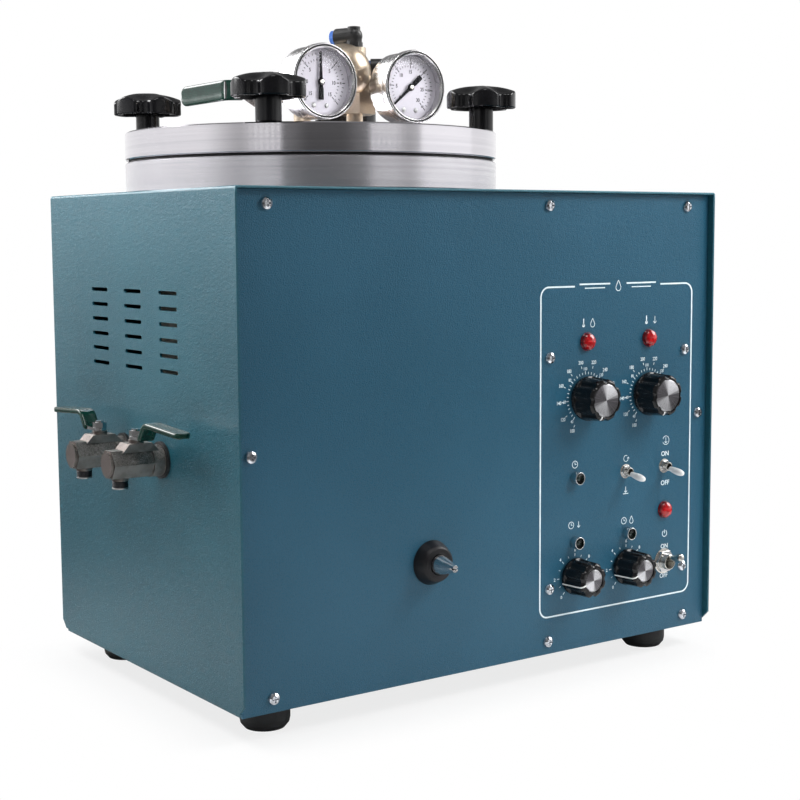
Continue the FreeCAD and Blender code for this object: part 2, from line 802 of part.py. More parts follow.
def valve_body(seat_gap, with_spout):
    """Valve body about its ball: flow along +x, stem along +z.

    A body with a spout seats on a wall washer and has a long shank; one without screws into a port."""
    half = valve_hex / 2
    seat = seat_gap - (washer_thickness if with_spout else 0)
    foot, top, side = bonnet_foot / 2, bonnet_top / 2, bonnet_width / 2
    corners = [V(-foot, -side, half - end_disc), V(-top, -side, half + bonnet_height),
               V(top, -side, half + bonnet_height), V(foot, -side, half - end_disc)]
    gland_low = half + bonnet_height - 1
    parts = [hexagon(V(-half, 0, 0), right, valve_hex, valve_outlet + half, 30.0),
             rod(V(-seat, 0, 0), right, valve_inlet_radius, seat - half + 1),
             prism(corners, back, bonnet_width),
             rod(V(0, 0, gland_low), up, gland_radius, lever_root_height - gland_low - 2 * turning_gap)]
    if with_spout:
        start = -seat_gap - shank_length
        parts += [rod(V(start, 0, 0), right, shank_radius, seat_gap),
                  rod(V(valve_outlet - 1, 0, 0), right, half - 1, end_disc + 1),
                  rod(V(spout_offset, 0, -half - end_disc), up, spout_radius + spout_collar, half),
                  rod(V(spout_offset, 0, -spout_drop), up, spout_radius, spout_drop)]
        runs = [rod(V(start - 1, 0, 0), right, channel_radius, 1 - start + spout_offset),
                rod(V(spout_offset, 0, -spout_drop - 1), up, channel_radius, spout_drop + 1)]
    else:
        start = -seat_gap - port_depth
        parts.append(rod(V(start, 0, 0), right, port_radius, seat_gap))
        runs = [rod(V(start - 1, 0, 0), right, channel_radius, 2 - start + valve_outlet)]
    runs.append(Part.makeSphere(valve_ball_radius + ball_clearance, V(0, 0, 0), right))
    runs.append(rod(V(0, 0, 0), up, stem_radius + running_clearance, 2 * lever_root_height))
    return bored(joined(parts), runs)


def strip(crank, skin, half_width, start, end):
    """The cranked lever's side view, thickened by skin all round, as a prism across y.

    crank gives where the crank starts, its run along the lever, and the handle's fall in degrees."""
    low = lever_root_height + lever_thickness / 2
    high = low + lever_rise
    t = lever_thickness / 2 + skin
    bend, crank_end = crank[0], crank[0] + crank[1]
    shift = t * math.tan(math.atan2(lever_rise, crank[1]) / 2)
    fall = math.tan(math.radians(crank[2]))
    end_high = high - fall * (end - crank_end)
    knee = fall * shift
    over = [(start, low + t), (bend - shift, low + t), (crank_end - shift, high + t + knee)]
    tip = [(end, end_high + t), (end, end_high - t)]
    under = [(crank_end + shift, high - t - knee), (bend + shift, low - t), (start, low - t)]
    return prism([V(x, -half_width, z) for x, z in over + tip + under], back, 2 * half_width)


def valve_lever(reach, width, crank, turn):
    """The steel lever, the ball with its stem, the nut, and the vinyl grip."""
    half = width / 2
    lever_top = lever_root_height + lever_thickness
    plate = strip(crank, 0, half, -half, reach - grip_skin)
    plate = softened(plate, half - 0.5, lambda e: along(e, up) and not 0 < e.CenterOfMass.x < reach / 2)
    plate = plate.cut(rod(V(0, 0, 0), up, stem_radius, 2 * lever_top))
    stem = joined([Part.makeSphere(valve_ball_radius, V(0, 0, 0), right),
                   rod(V(0, 0, valve_ball_radius / 2), up, stem_radius,
                       lever_top + stem_nut_height + 1 - valve_ball_radius / 2)])
    stem = stem.cut(rod(V(-valve_hex, 0, 0), right, valve_bore_radius, 2 * valve_hex))
    nut = hexagon(V(0, 0, lever_top), up, stem_nut_flats, stem_nut_height)
    nut = nut.cut(rod(V(0, 0, lever_top - 1), up, stem_radius, stem_nut_height + 2))
    wide = half + grip_skin
    grip = strip(crank, grip_skin, wide, crank[0] - grip_lead, reach)
    grip = softened(grip, wide - 0.5, lambda e: along(e, up) and e.CenterOfMass.x > reach / 2)
    grip = grip.cut(plate)
    spin = FreeCAD.Rotation(V(0, 0, 1), turn)
    for shape in (plate, stem, nut, grip):
        shape.Placement = FreeCAD.Placement(V(0, 0, 0), spin).multiply(shape.Placement)
    return plate, stem, nut, grip


def settled(shape, placement):
    placed = shape.copy()
    placed.Placement = placement.multiply(placed.Placement)
    return placed


drain_balls = [V(-valve_seat_gap, y, drain_z) for y in drain_y]
drain_turn = FreeCAD.Rotation(V(0, 0, 1), 180)
drain_places = [FreeCAD.Placement(point, drain_turn) for point in drain_balls]
exhaust_ball = V(exhaust_x, exhaust_y, gauge_height)
exhaust_turn = FreeCAD.Rotation(V(0, 1, 0), V(0, 0, -1), V(-1, 0, 0), "XZY")
exhaust_place = FreeCAD.Placement(exhaust_ball, exhaust_turn)

put("drain_valve_bodies", *[settled(valve_body(valve_seat_gap, True), place) for place in drain_places])
for label, place, turn in (("front", drain_places[0], 90.0), ("rear", drain_places[1], -90.0)):
    crank = (drain_lever_bend, drain_lever_slope, drain_lever_droop)
    pieces = valve_lever(drain_lever_reach, drain_lever_width, crank, turn)
    plate, stem, nut, grip = [settled(s, place) for s in pieces]
    put("drain_lever_" + label, plate, stem, nut)
    put("drain_grip_" + label, grip)
put("exhaust_valve_body", settled(valve_body(exhaust_seat_gap, False), exhaust_place))
crank = (exhaust_lever_bend, exhaust_lever_slope, exhaust_lever_droop)
pieces = valve_lever(exhaust_lever_reach, exhaust_lever_width, crank, 0.0)
plate, stem, nut, grip = [settled(s, exhaust_place) for s in pieces]
put("exhaust_lever", plate, stem, nut)
put("exhaust_grip", grip)

# rubber washers between the drain valves and the case's wall
put("drain_washers", *[ring(V(-washer_thickness, y, drain_z), right, washer_radius,
                            shank_radius + fit_gap, washer_thickness) for y in drain_y])

# ---------------------------------------------------------------- nozzle
collar_front = panel_front - collar_length
neck_face = panel_front + turning_gap
shaft_end = neck_face + shaft_length
shaft_bore_end = shaft_end + tip_travel + spring_room
tip_shoulder = neck_face - tip_travel - fit_gap


def make_collar():
    profile = [(tip_radius + fit_gap, 0), (collar_radius, 0), (collar_radius - 0.6, 1.6),
               (collar_front_radius + 0.5, collar_length - 1.2), (collar_front_radius - 0.8, collar_length),
               (tip_radius + fit_gap, collar_length)]
    return lathe(profile, V(nozzle_x, panel_front, nozzle_z), front)


def make_nozzle_tip():
    start = V(nozzle_x, shaft_end, nozzle_z)
    total = shaft_end - tip_end
    shoulder = shaft_end - tip_shoulder
    cone = shaft_end - collar_front
    profile = [(0, 0), (tip_shaft_radius, 0), (tip_shaft_radius, shoulder), (tip_radius, shoulder),
               (tip_radius, cone + tip_cylinder), (tip_end_radius + tip_lip, total - tip_slot_depth),
               (tip_end_radius, total), (0, total)]
    tip = lathe(profile, start, front)
    half = tip_slot_width / 2
    cuts = [rod(start + back, front, tip_orifice_radius, total + 2),
            block(nozzle_x - tip_radius, nozzle_x + tip_radius, tip_end - 1, tip_end + tip_slot_depth,
                  nozzle_z - half, nozzle_z + half)]
    return bored(tip, cuts)


def make_nozzle_block():
    half = block_width / 2
    body = block(nozzle_x - half, nozzle_x + half, block_front, block_front + block_length,
                 nozzle_z - half, nozzle_z + half)
    neck = rod(V(nozzle_x, neck_face, nozzle_z), back, neck_radius, block_front - neck_face + 1)
    body = joined([body, neck])
    cuts = [rod(V(nozzle_x, neck_face - 1, nozzle_z), back, tip_shaft_radius + running_clearance,
                shaft_bore_end - neck_face + 1),
            rod(V(nozzle_x, shaft_end, nozzle_z), back, feed_bore_radius, block_length),
            rod(V(nozzle_x, feed_end, nozzle_z), back, feed_radius + running_clearance, feed_socket + 1),
            rod(cartridge_start, back, cartridge_radius + running_clearance, cartridge_length)]
    return bored(body, cuts)


feed_end = block_front + block_length - feed_socket
put("nozzle_valve_block", make_nozzle_block())
put("nozzle_tip", make_nozzle_tip())
put("nozzle_collar", make_collar())


def bent_tube(points, bends, outer, inner):
    """Straight runs joined by tangent arcs, swept as a tube."""
    edges, last = [], points[0]
    for i, bend in enumerate(bends):
        corner = points[i + 1]
        before = (points[i] - corner).normalize()
        after = (points[i + 2] - corner).normalize()
        half = before.getAngle(after) / 2
        cut_back = bend / math.tan(half)
        start, end = corner + before * cut_back, corner + after * cut_back
        bisector = (before + after).normalize()
        middle = corner + bisector * (bend / math.sin(half) - bend)
        edges += [Part.LineSegment(last, start).toShape(), Part.Arc(start, middle, end).toShape()]
        last = end
    edges.append(Part.LineSegment(last, points[-1]).toShape())
    path = Part.Wire(edges)
    direction = (points[1] - points[0]).normalize()
    skins = []
    for radius in (outer, inner):
        hoop = Part.Wire(Part.makeCircle(radius, points[0], direction))
        skins.append(path.makePipeShell([hoop], True, False))
    return skins[0].cut(skins[1])


feed_points = [V(nozzle_x, feed_y, tank_underside + feed_socket), V(nozzle_x, feed_y, nozzle_z),
               V(nozzle_x, feed_end, nozzle_z)]
put("feed_tube", bent_tube(feed_points, [feed_bend], feed_radius, feed_bore_radius))

# ---------------------------------------------------------------- lid and its fittings


def make_lid():
    spigot = tank_bore_radius - spigot_clearance
    profile = [(0, lid_bottom - spigot_depth), (spigot - edge_break, lid_bottom - spigot_depth),
               (spigot, lid_bottom - spigot_depth + edge_break), (spigot, lid_bottom),
               (flange_radius - edge_break, lid_bottom), (flange_radius, lid_bottom + edge_break),
               (flange_radius, lid_top - edge_break), (flange_radius - edge_break, lid_top), (0, lid_top)]
    plate = lathe(profile, V(tank_x, tank_y, 0), up)
    below = lid_bottom - spigot_depth - 1
    through = lid_top - below + 1
    cuts = [rod(V(p.x, p.y, below), up, stud_radius + lid_hole_clearance, through) for p in stud_points]
    for x in (column_x, leg_x):
        cuts.append(rod(V(x, manifold_y, lid_top - leg_thread), up, leg_radius + running_clearance, through))
    cuts.append(rod(V(column_x, manifold_y, below), up, riser_radius, through))
    return bored(plate, cuts)


put("tank_lid", make_lid())
put("lid_seal", ring(V(tank_x, tank_y, flange_top), up, seal_inner_radius + seal_width,
                     seal_inner_radius, seal_thickness))


def make_manifold():
    centre = gauge_height
    half = bar_thickness / 2
    x0, x1 = gauge_x[0] - bar_overhang[0], side_elbow_x + bar_overhang[1]
    bar = block(x0, x1, manifold_front, manifold_back, centre - half, centre + half)
    bar = bar.makeChamfer(bar_chamfer, bar.Edges)
    hex_low = cover_top + column_hex_low
    column = rod(V(column_x, manifold_y, hex_low), up, column_radius, centre - hex_low)
    head_z = column_head - math.sqrt(head_radius ** 2 - head_offset ** 2)
    # the ball's poles lie inside the boss and the bar
    head = Part.makeSphere(head_radius, V(column_x - head_offset, manifold_y, head_z),
                           V(head_offset, 0, column_head - head_z))
    boss = rod(V(column_x, manifold_y, centre), up, head_boss_radius, column_head - centre)
    flats = hexagon(V(column_x, manifold_y, hex_low), up, column_hex, column_hex_height, column_hex_turn)
    foot = lid_top - leg_thread
    neck = rod(V(column_x, manifold_y, foot), up, leg_radius, hex_low - foot + 1)
    leg = rod(V(leg_x, manifold_y, foot), up, leg_radius, centre - foot)
    leg_nut = hexagon(V(leg_x, manifold_y, lid_top), up, leg_nut_flats, leg_nut_height)
    body = joined([bar, column, head, boss, flats, neck, leg, leg_nut])
    cuts = [rod(V(x0 + port_radius, manifold_y, centre), right, channel_radius, x1 - x0 - 2 * port_radius),
            rod(V(column_x, manifold_y, foot - 1), up, riser_radius, column_head - foot),
            rod(V(column_x, manifold_y, column_head), up, head_boss_radius, head_radius)]
    port = port_radius + running_clearance
    for x in gauge_x:
        cuts.append(rod(V(x, manifold_front - 1, centre), back, port, port_depth + 1))
    cuts.append(rod(V(exhaust_x, manifold_back + 1, centre), front, port, port_depth + 1))
    for base in elbow_bases:
        cuts.append(rod(base - up * elbow_thread, up, elbow_thread_radius + running_clearance,
                        elbow_thread + 1))
    cuts.append(rod(V(side_elbow_x, manifold_y, centre), up, riser_radius, half))
    return bored(body, cuts)


elbow_bases = [V(column_x, manifold_y, column_head), V(side_elbow_x, manifold_y, bar_top)]
elbow_turns = [column_elbow_turn, side_elbow_turn]
put("gauge_manifold", make_manifold())


def make_gauge_case(x):
    centre = V(x, gauge_front, gauge_height)
    r, body, d = gauge_radius, gauge_radius - case_step, gauge_depth
    opening, seat = r - bezel_width, r - bezel_width + bezel_ledge
    seam, dial_back = bezel_length, dial_setback + dial_thickness
    outside = [(0, 0), (r - gauge_edge, 0), (r, gauge_edge), (r, seam - seam_depth / 2),
               (r - seam_depth / 2, seam), (r - seam_depth, seam), (r - seam_depth, seam + seam_width),
               (body, seam + seam_width), (body, d - gauge_back_edge), (body - gauge_back_edge, d), (0, d)]
    case = lathe(outside, centre, back)
    inside = [(0, -1), (opening, -1), (opening, bezel_ledge), (seat, bezel_ledge), (seat, dial_back),
              (opening, dial_back), (opening, d - gauge_wall), (0, d - gauge_wall)]
    case = case.cut(lathe(inside, centre, back))
    boss_start = dial_setback + gauge_boss_gap
    boss = rod(centre + back * boss_start, back, gauge_boss_radius, d - boss_start)
    stem_length = manifold_front - gauge_front - d
    stem = hexagon(centre + back * (d - gauge_wall), back, gauge_stem_flats, stem_length + gauge_wall)
    thread = rod(V(x, manifold_front - gauge_wall, gauge_height), back, port_radius,
                 gauge_thread + gauge_wall)
    case = joined([case, boss, stem, thread])
    bearing = rod(centre, back, pointer_shaft_radius + running_clearance, dial_setback * 2)
    inlet = rod(V(x, manifold_front + gauge_thread + 1, gauge_height), front, gauge_inlet_radius,
                gauge_thread + stem_length)
    return bored(case, [bearing, inlet])


put("gauge_cases", *[make_gauge_case(x) for x in gauge_x])
dials, lenses = [], []
for x in gauge_x:
    disc = gauge_radius - bezel_width + bezel_ledge - dial_gap
    dials.append(ring(V(x, gauge_front + dial_setback, gauge_height), back, disc,
                      pointer_shaft_radius + running_clearance, dial_thickness))
    lenses.append(rod(V(x, gauge_front + bezel_ledge, gauge_height), back, disc, lens_thickness))
put("gauge_dials", *dials)
put("gauge_lenses", *lenses)


def make_pointer(x, degrees):
    """A pointer that lies in the dial's plane, turned degrees anticlockwise from the right."""
    plate = V(x, gauge_front + dial_setback - pointer_lift - pointer_thickness, gauge_height)
    outline = [(-pointer_tail, pointer_tail_half), (-pointer_waist, pointer_waist_half),
               (pointer_reach, pointer_end_half)]
    corners = [V(along_x, 0, -half) for along_x, half in outline]
    corners += [V(along_x, 0, half) for along_x, half in reversed(outline)]
    needle = prism(corners, back, pointer_thickness)
    needle.rotate(V(0, 0, 0), V(0, 1, 0), -degrees)
    needle.translate(plate)
    hub = rod(plate + front * pointer_hub_lead, back, pointer_hub_radius, pointer_hub_length)
    shaft = rod(plate, back, pointer_shaft_radius, dial_setback)
    return joined([needle, hub, shaft])


for name, x, degrees in zip(("vacuum_pointer", "pressure_pointer"), gauge_x, pointer_angles):
    put(name, make_pointer(x, degrees))


def make_elbow(base, turn):
    """Push-in elbow: hexagon and thread below, arm to the left with its tube socket, turned to the back."""
    arm_rise = elbow_height - elbow_radius - elbow_cap_drop
    arm, mouth = base + up * arm_rise, base + up * arm_rise + left * elbow_reach
    tube_socket = air_tube_radius + tube_clearance
    flats = hexagon(base, up, elbow_flats, elbow_flats_height, elbow_flats_turn)
    post = rod(base, up, elbow_radius - elbow_cap_drop, arm_rise)
    dome = Part.makeSphere(elbow_radius, arm)
    cap = rod(arm, up, elbow_radius - elbow_cap_inset, elbow_height - arm_rise)
    sleeve = rod(arm, left, elbow_radius, elbow_reach - collet_length)
    thread = rod(base - up * elbow_thread, up, elbow_thread_radius, elbow_thread + 1)
    body = joined([flats, post, dome, cap, sleeve, thread])
    passage = [rod(base - up * (elbow_thread + 1), up, elbow_bore_radius, arm_rise + elbow_thread + 1),
               rod(mouth, right, elbow_bore_radius, elbow_reach),
               rod(mouth, right, tube_socket, elbow_reach - tube_stop)]
    elbow = bored(body, passage)
    collet = ring(mouth, right, collet_radius, tube_socket, collet_length)
    for piece in (elbow, collet):
        piece.rotate(base, up, -turn)
    return elbow, collet


elbow_pairs = [make_elbow(base, turn) for base, turn in zip(elbow_bases, elbow_turns)]
put("air_elbows", *[pair[0] for pair in elbow_pairs])
put("elbow_collets", *[pair[1] for pair in elbow_pairs])

# ---------------------------------------------------------------- star knobs


def make_star_knob(point, turn):
    """Hub and a lobed, domed head with a blind bore for its stud."""
    seat = lid_top + turning_gap
    head_low = seat + knob_hub_length
    r = knob_head_radius
    shoulder = (knob_rim_height + 2 * knob_head_height) / 3
    outline = [(0, 0), (r - edge_break, 0), (r + fit_gap, edge_break + fit_gap),
               (r + fit_gap, knob_rim_height),
               (r - knob_shoulder_inset, shoulder),
               (r - knob_crown_inset, knob_head_height - knob_crown_drop), (0, knob_head_height)]
    dome = lathe(outline, V(point.x, point.y, head_low), up)
    valleys = []
    for i in range(knob_lobes):
        angle = turn + 360.0 / knob_lobes * (i + 0.5)
        valleys.append(rod(on_circle(point.x, point.y, r + knob_valley_offset, angle, head_low - 2), up,
                           knob_valley_radius, knob_head_height + 4))
    star = rod(V(point.x, point.y, head_low - 1), up, r, knob_head_height + 2)
    star = softened(bored(star, valleys), knob_lobe_round, lambda e: along(e, up) and len(e.Vertexes) == 2)
    head = star.common(dome)
    hub = rod(V(point.x, point.y, seat), up, knob_hub_radius, knob_hub_length + 1)
    knob = joined([hub, head])
    bore = rod(V(point.x, point.y, seat - 1), up, stud_radius + running_clearance,
               knob_stud_depth + knob_bore_spare)
    return knob.cut(bore)


for i, (point, turn) in enumerate(zip(stud_points, knob_turns)):
    put("star_knob_" + str(i + 1), make_star_knob(point, turn))

# ---------------------------------------------------------------- controls on the panel


def make_lamp(place):
    r = lamp_radius
    steps = 6
    turns = [math.pi / 2 * i / steps for i in range(steps)]
    dome = [(r * math.cos(t), lamp_rim + (lamp_dome - lamp_rim) * math.sin(t)) for t in turns]
    profile = [(0, -lamp_depth), (lamp_neck_radius, -lamp_depth), (lamp_neck_radius, 0), (r, 0)]
    profile += dome + [(0, lamp_dome)]
    return lathe(profile, panel_point(place, panel_front), front)


put("pilot_lamps", *[make_lamp(p) for p in lamp_places])


def make_led_bezel(place):
    r, length = led_bezel_radius, led_bezel_length
    bore = led_bore_radius
    profile = [(bore, -led_depth), (led_neck_radius, -led_depth), (led_neck_radius, 0), (r, 0),
               (r, length - 0.6), (r - 0.5, length), (r - 1.2, length), (r - 1.5, length - 1.5),
               (bore, length - 3.0)]
    return lathe(profile, panel_point(place, panel_front), front)


put("led_bezels", *[make_led_bezel(p) for p in led_places])


def make_pot(place):
    can = rod(panel_point(place, panel_rear), back, pot_radius, pot_depth)
    start = panel_front - pot_bush_reach
    bush = rod(panel_point(place, start), back, pot_bush_radius, panel_rear - start + 1)
    bore = rod(panel_point(place, start - 1), back, control_shaft_radius + running_clearance,
               panel_rear - start + pot_depth)
    return joined([can, bush]).cut(bore)


pot_places = temperature_knob_places + timer_knob_places
put("potentiometers", *[make_pot(p) for p in pot_places])


def make_toggle_body(place, bush, nut_reach, size, depth, tilt, lever_radius):
    half_x, half_z = size[0] / 2, size[1] / 2
    centre = panel_point(place, panel_rear)
    body = block(centre.x - half_x, centre.x + half_x, panel_rear, panel_rear + depth,
                 centre.z - half_z, centre.z + half_z)
    neck = rod(panel_point(place, panel_front - nut_reach), back, bush, nut_reach + sheet + 1)
    pivot = V(centre.x, panel_front + toggle_pivot, centre.z)
    run = toggle_pivot + nut_reach + 1
    mouth = lever_radius + fit_gap + math.tan(math.radians(tilt)) * run
    flare = Part.makeCone(lever_radius + fit_gap, mouth, run, pivot, front)
    seat = Part.makeSphere(lever_radius + toggle_seat_play, pivot)
    return bored(joined([body, neck]), [flare, seat])


toggle_bodies = [make_toggle_body(p, small_bush_radius, small_bush_reach, small_switch_size,
                                  small_switch_depth, small_toggle_tilt, small_lever_radius)
                 for p in small_toggle_places]
toggle_bodies.append(make_toggle_body(power_toggle_place, power_bush_radius, power_bush_reach,
                                      power_switch_size, power_switch_depth, power_toggle_tilt,
                                      power_lever_radius))
put("toggle_switch_bodies", *toggle_bodies)


def bush_nut(place, size, bush):
    flats, height = size
    nut = hexagon(panel_point(place, panel_front), front, flats, height)
    return nut.cut(rod(panel_point(place, panel_front + 1), front, bush, height + 2))


nuts = [bush_nut(p, small_nut, small_bush_radius) for p in small_toggle_places]
nuts.append(bush_nut(power_toggle_place, power_nut, power_bush_radius))
nuts += [bush_nut(p, pot_nut, pot_bush_radius) for p in pot_places]
put("bush_nuts", *nuts)


def make_toggle_lever(place, radius, tip_radius_out, degrees, sleeved):
    """A bat lever from its pivot outwards; positive degrees point it up."""
    pivot = V(place[0], panel_front + toggle_pivot, cover_bottom + place[1])
    reach = toggle_reach + toggle_pivot
    full = reach - toggle_end_round
    profile = [(0, 0), (radius, 0), (radius, toggle_flare_start), (tip_radius_out, full),
               (tip_radius_out * 0.8, reach - toggle_end_round / 4), (0, reach)]
    pieces = [joined([lathe(profile, V(0, 0, 0), front), Part.makeSphere(radius + toggle_ball_step)])]
    if sleeved:
        end = reach + sleeve_lead
        profile = [(0, sleeve_start), (radius + sleeve_skin, sleeve_start),
                   (tip_radius_out + sleeve_skin, full - sleeve_skin),
                   (tip_radius_out + sleeve_lead, full + sleeve_skin), (tip_radius_out * 0.6, end), (0, end)]
        pieces.append(lathe(profile, V(0, 0, 0), front).cut(pieces[0]))
    for piece in pieces:
        piece.rotate(V(0, 0, 0), V(1, 0, 0), -degrees)
        piece.translate(pivot)
    return pieces


for name, place in zip(("auto_toggle", "vacuum_toggle"), small_toggle_places):
    put(name, *make_toggle_lever(place, small_lever_radius, small_lever_end, -small_toggle_tilt, True))
put("power_toggle", *make_toggle_lever(power_toggle_place, power_lever_radius, power_lever_end,
                                       power_toggle_tilt, False))


def make_control_knob(place, radius, cap_radius):
    """Fluted knob with an inlaid cap; its D-shaped shaft runs in the potentiometer's bush."""
    back_y = panel_front - knob_gap
    face_y = panel_front - knob_front
    length = back_y - face_y - cap_stand
    axis_back = panel_point(place, back_y)
    rim = radius * knob_taper
    body = lathe([(0, 0), (radius, 0), (radius, knob_skirt), (rim, length - knob_edge),
                  (rim - knob_edge, length), (0, length)], axis_back, front)
    flutes = []
    for i in range(knob_flutes):
        angle = math.radians(360.0 / knob_flutes * (i + 0.5))
        offset = V(math.cos(angle), 0, math.sin(angle)) * (radius + knob_flute_offset)
        flutes.append(rod(axis_back + offset + front * knob_skirt, front, knob_flute_radius, length))
    recess = rod(axis_back + back, front, knob_nut_room_radius, knob_nut_room_depth + 1)
    cap_back = panel_point(place, face_y + cap_thickness)
    pocket = rod(cap_back, front, cap_radius, 2 * cap_thickness)
    body = bored(body, flutes + [recess, pocket])
    cap = rod(cap_back, front, cap_radius, cap_thickness)
    shaft = rod(panel_point(place, panel_front + control_shaft_inside), front, control_shaft_radius,
                control_shaft_inside + knob_gap + control_shaft_grip)
    return joined([body, shaft]), cap


for name, place in zip(("wax_temperature_knob", "valve_temperature_knob"), temperature_knob_places):
    put(name, *make_control_knob(place, temperature_knob_radius, temperature_cap_radius))
for name, place in zip(("vacuum_time_knob", "injection_time_knob"), timer_knob_places):
    put(name, *make_control_knob(place, timer_knob_radius, timer_cap_radius))

# circuit board behind the controls, on hexagon standoffs
board_front = panel_rear + board_setback


def make_board():
    xs = [p[0] for p in board_screw_places]
    zs = [cover_bottom + p[1] for p in board_screw_places]
    x0, x1 = min(xs) - board_margin, max(xs) + board_margin
    z0, z1 = min(zs) - board_margin, max(zs) + board_margin
    rear = board_front + board_thickness
    parts = [block(x0, x1, board_front, rear, z0, z1)]
    low = z0 + board_parts_start[1]
    for i, (width, height, depth) in enumerate(board_parts):
        x = x0 + board_parts_start[0] + board_parts_pitch * i
        parts.append(block(x, x + width, board_front + board_thickness / 2, rear + depth, low, low + height))
    board = joined(parts)
    cuts = [rod(panel_point(p, board_front - 1), back, screw_hole, 5) for p in board_screw_places]
    return bored(board, cuts)


put("circuit_board", make_board())
board_mounts = []
for p in board_screw_places:
    board_mounts.append(pan_head_screw(panel_point(p, panel_front), back, board_screw_length))
    spacer = hexagon(panel_point(p, panel_rear), back, nut_flats, board_setback)
    board_mounts.append(spacer.cut(rod(panel_point(p, 0), back, screw_hole, 2 * board_setback)))
    board_mounts.append(pan_head_screw(panel_point(p, board_front + board_thickness), front,
                                       board_screw_length))
put("board_mounts", *board_mounts)

# ---------------------------------------------------------------- machinery on the base pan
pump_x0, pump_x1 = pump_x - pump_length / 2, pump_x + pump_length / 2
pump_y0, pump_y1 = pump_y - pump_width / 2, pump_y + pump_width / 2
pump_top = pan_floor + pump_height


def make_pump():
    body = block(pump_x0, pump_x1, pump_y0, pump_y1, pan_floor + pump_foot, pump_top)
    body = softened(body, pump_corner, lambda e: along(e, up))
    base = block(pump_x0 - pump_foot_lip, pump_x1 + pump_foot_lip, pump_y0 - pump_foot_lip,
                 pump_y1 + pump_foot_lip, pan_floor, pan_floor + pump_foot + 0.5)
    port = rod(V(pump_port_x, pump_y, pump_top - 1), up, pump_port_radius, pump_port_length + 1)
    cuts = [rod(V(pump_port_x, pump_y, pump_top - pump_foot), up, pump_port_bore, pump_height)]
    rib_pitch = (pump_height - 3 * pump_foot) / pump_ribs
    for i in range(pump_ribs):
        z = pan_floor + 2 * pump_foot + rib_pitch * i
        cuts.append(block(pump_x0 - 1, pump_x0 + pump_rib_depth, pump_y0 - 1, pump_y1 + 1,
                          z, z + rib_pitch / 2))
    return bored(joined([body, base, port]), cuts)


def make_motor():
    z = pan_floor + pump_height / 2 + motor_lift
    far = pump_x1 + motor_length
    can = rod(V(pump_x1, pump_y, z), right, motor_radius, motor_length)
    can = softened(can, motor_edge, lambda e: e.CenterOfMass.x > far - 0.1 and not along(e, right))
    half = saddle_width / 2
    saddle = block(pump_x1 + saddle_inset, far - saddle_inset, pump_y - half, pump_y + half,
                   pan_floor, z - math.sqrt(motor_radius ** 2 - half ** 2) + sheet)
    return joined([can, saddle])


put("vacuum_pump", make_pump())
put("pump_motor", make_motor())


def make_transformer():
    x, y, z = transformer_x, transformer_y, pan_floor
    core_x, core_y, core_z = core_length / 2, core_width / 2, z + transformer_foot_height
    core = block(x - core_x, x + core_x, y - core_y, y + core_y, core_z, core_z + core_height)
    coil_x, coil_y, coil_z = coil_length / 2, coil_width / 2, core_z + (core_height - coil_height) / 2
    coil = block(x - coil_x, x + coil_x, y - coil_y, y + coil_y, coil_z, coil_z + coil_height)
    coil = softened(coil, coil_round, lambda e: along(e, right))
    foot_x = transformer_foot_length / 2
    feet = block(x - foot_x, x + foot_x, y - core_y, y + core_y, z, core_z)
    return joined([core, coil, feet])


put("transformer", make_transformer())


def make_solenoid():
    x, y, z = solenoid_x, solenoid_y, pan_floor
    parts = []
    for size_x, size_y, size_z in (solenoid_base, solenoid_coil):
        parts.append(block(x - size_x / 2, x + size_x / 2, y - size_y / 2, y + size_y / 2, z, z + size_z))
        z += size_z
    parts.append(rod(V(x, y, z - 1), up, solenoid_cap_radius, solenoid_cap_height + 1))
    port = V(x, y, pan_floor + solenoid_port_height)
    parts += [rod(port, direction, solenoid_port_radius, solenoid_port_reach) for direction in (left, right)]
    start = port + left * (solenoid_port_reach + 1)
    return joined(parts).cut(rod(start, right, solenoid_bore, 2 * solenoid_port_reach + 2))


put("solenoid_valve", make_solenoid())

# air line from the pump's port to the rear vacuum fitting
line_x, line_z = tail_places[1]
line_start = V(pump_port_x, pump_y, pump_top + pump_port_length / 2)
line_points = [line_start, line_start + up * line_rise, V(line_x, pump_y, line_start.z + line_rise),
               V(line_x, pump_y, line_z), V(line_x, tail_inner_end + tail_depth / 3, line_z)]
put("air_line", bent_tube(line_points, [line_bend] * 3, line_radius, tail_radius + hose_clearance))

# ---------------------------------------------------------------- rear connections


def make_hose_tail(x, z):
    """Bulkhead hose tail: barbs outside, a flange, a threaded shank and its nut."""
    barb, pitch = tail_radius + 0.9, tail_reach / 4
    flange_edge = tail_shank_radius + 2.5
    inside = -sheet - tail_depth
    profile = [(tail_bore_radius, tail_reach), (tail_radius, tail_reach)]
    for i in range(3):
        foot = tail_reach - pitch * (i + 1)
        profile += [(barb, foot + 0.6), (tail_radius, foot)]
    profile += [(tail_radius, 2.5), (flange_edge, 2.5), (flange_edge, 0), (tail_shank_radius, 0),
                (tail_shank_radius, inside * 0.6), (tail_radius, inside * 0.6),
                (tail_radius, inside), (tail_bore_radius, inside)]
    tail = lathe(profile, V(x, back_panel_rear, z), back)
    nut = hexagon(V(x, back_panel_front, z), front, 17.0, 4.0)
    return tail, nut.cut(rod(V(x, back_panel_front + 1, z), front, tail_shank_radius + running_clearance, 8))


put("rear_hose_tails", *[piece for x, z in tail_places for piece in make_hose_tail(x, z)])


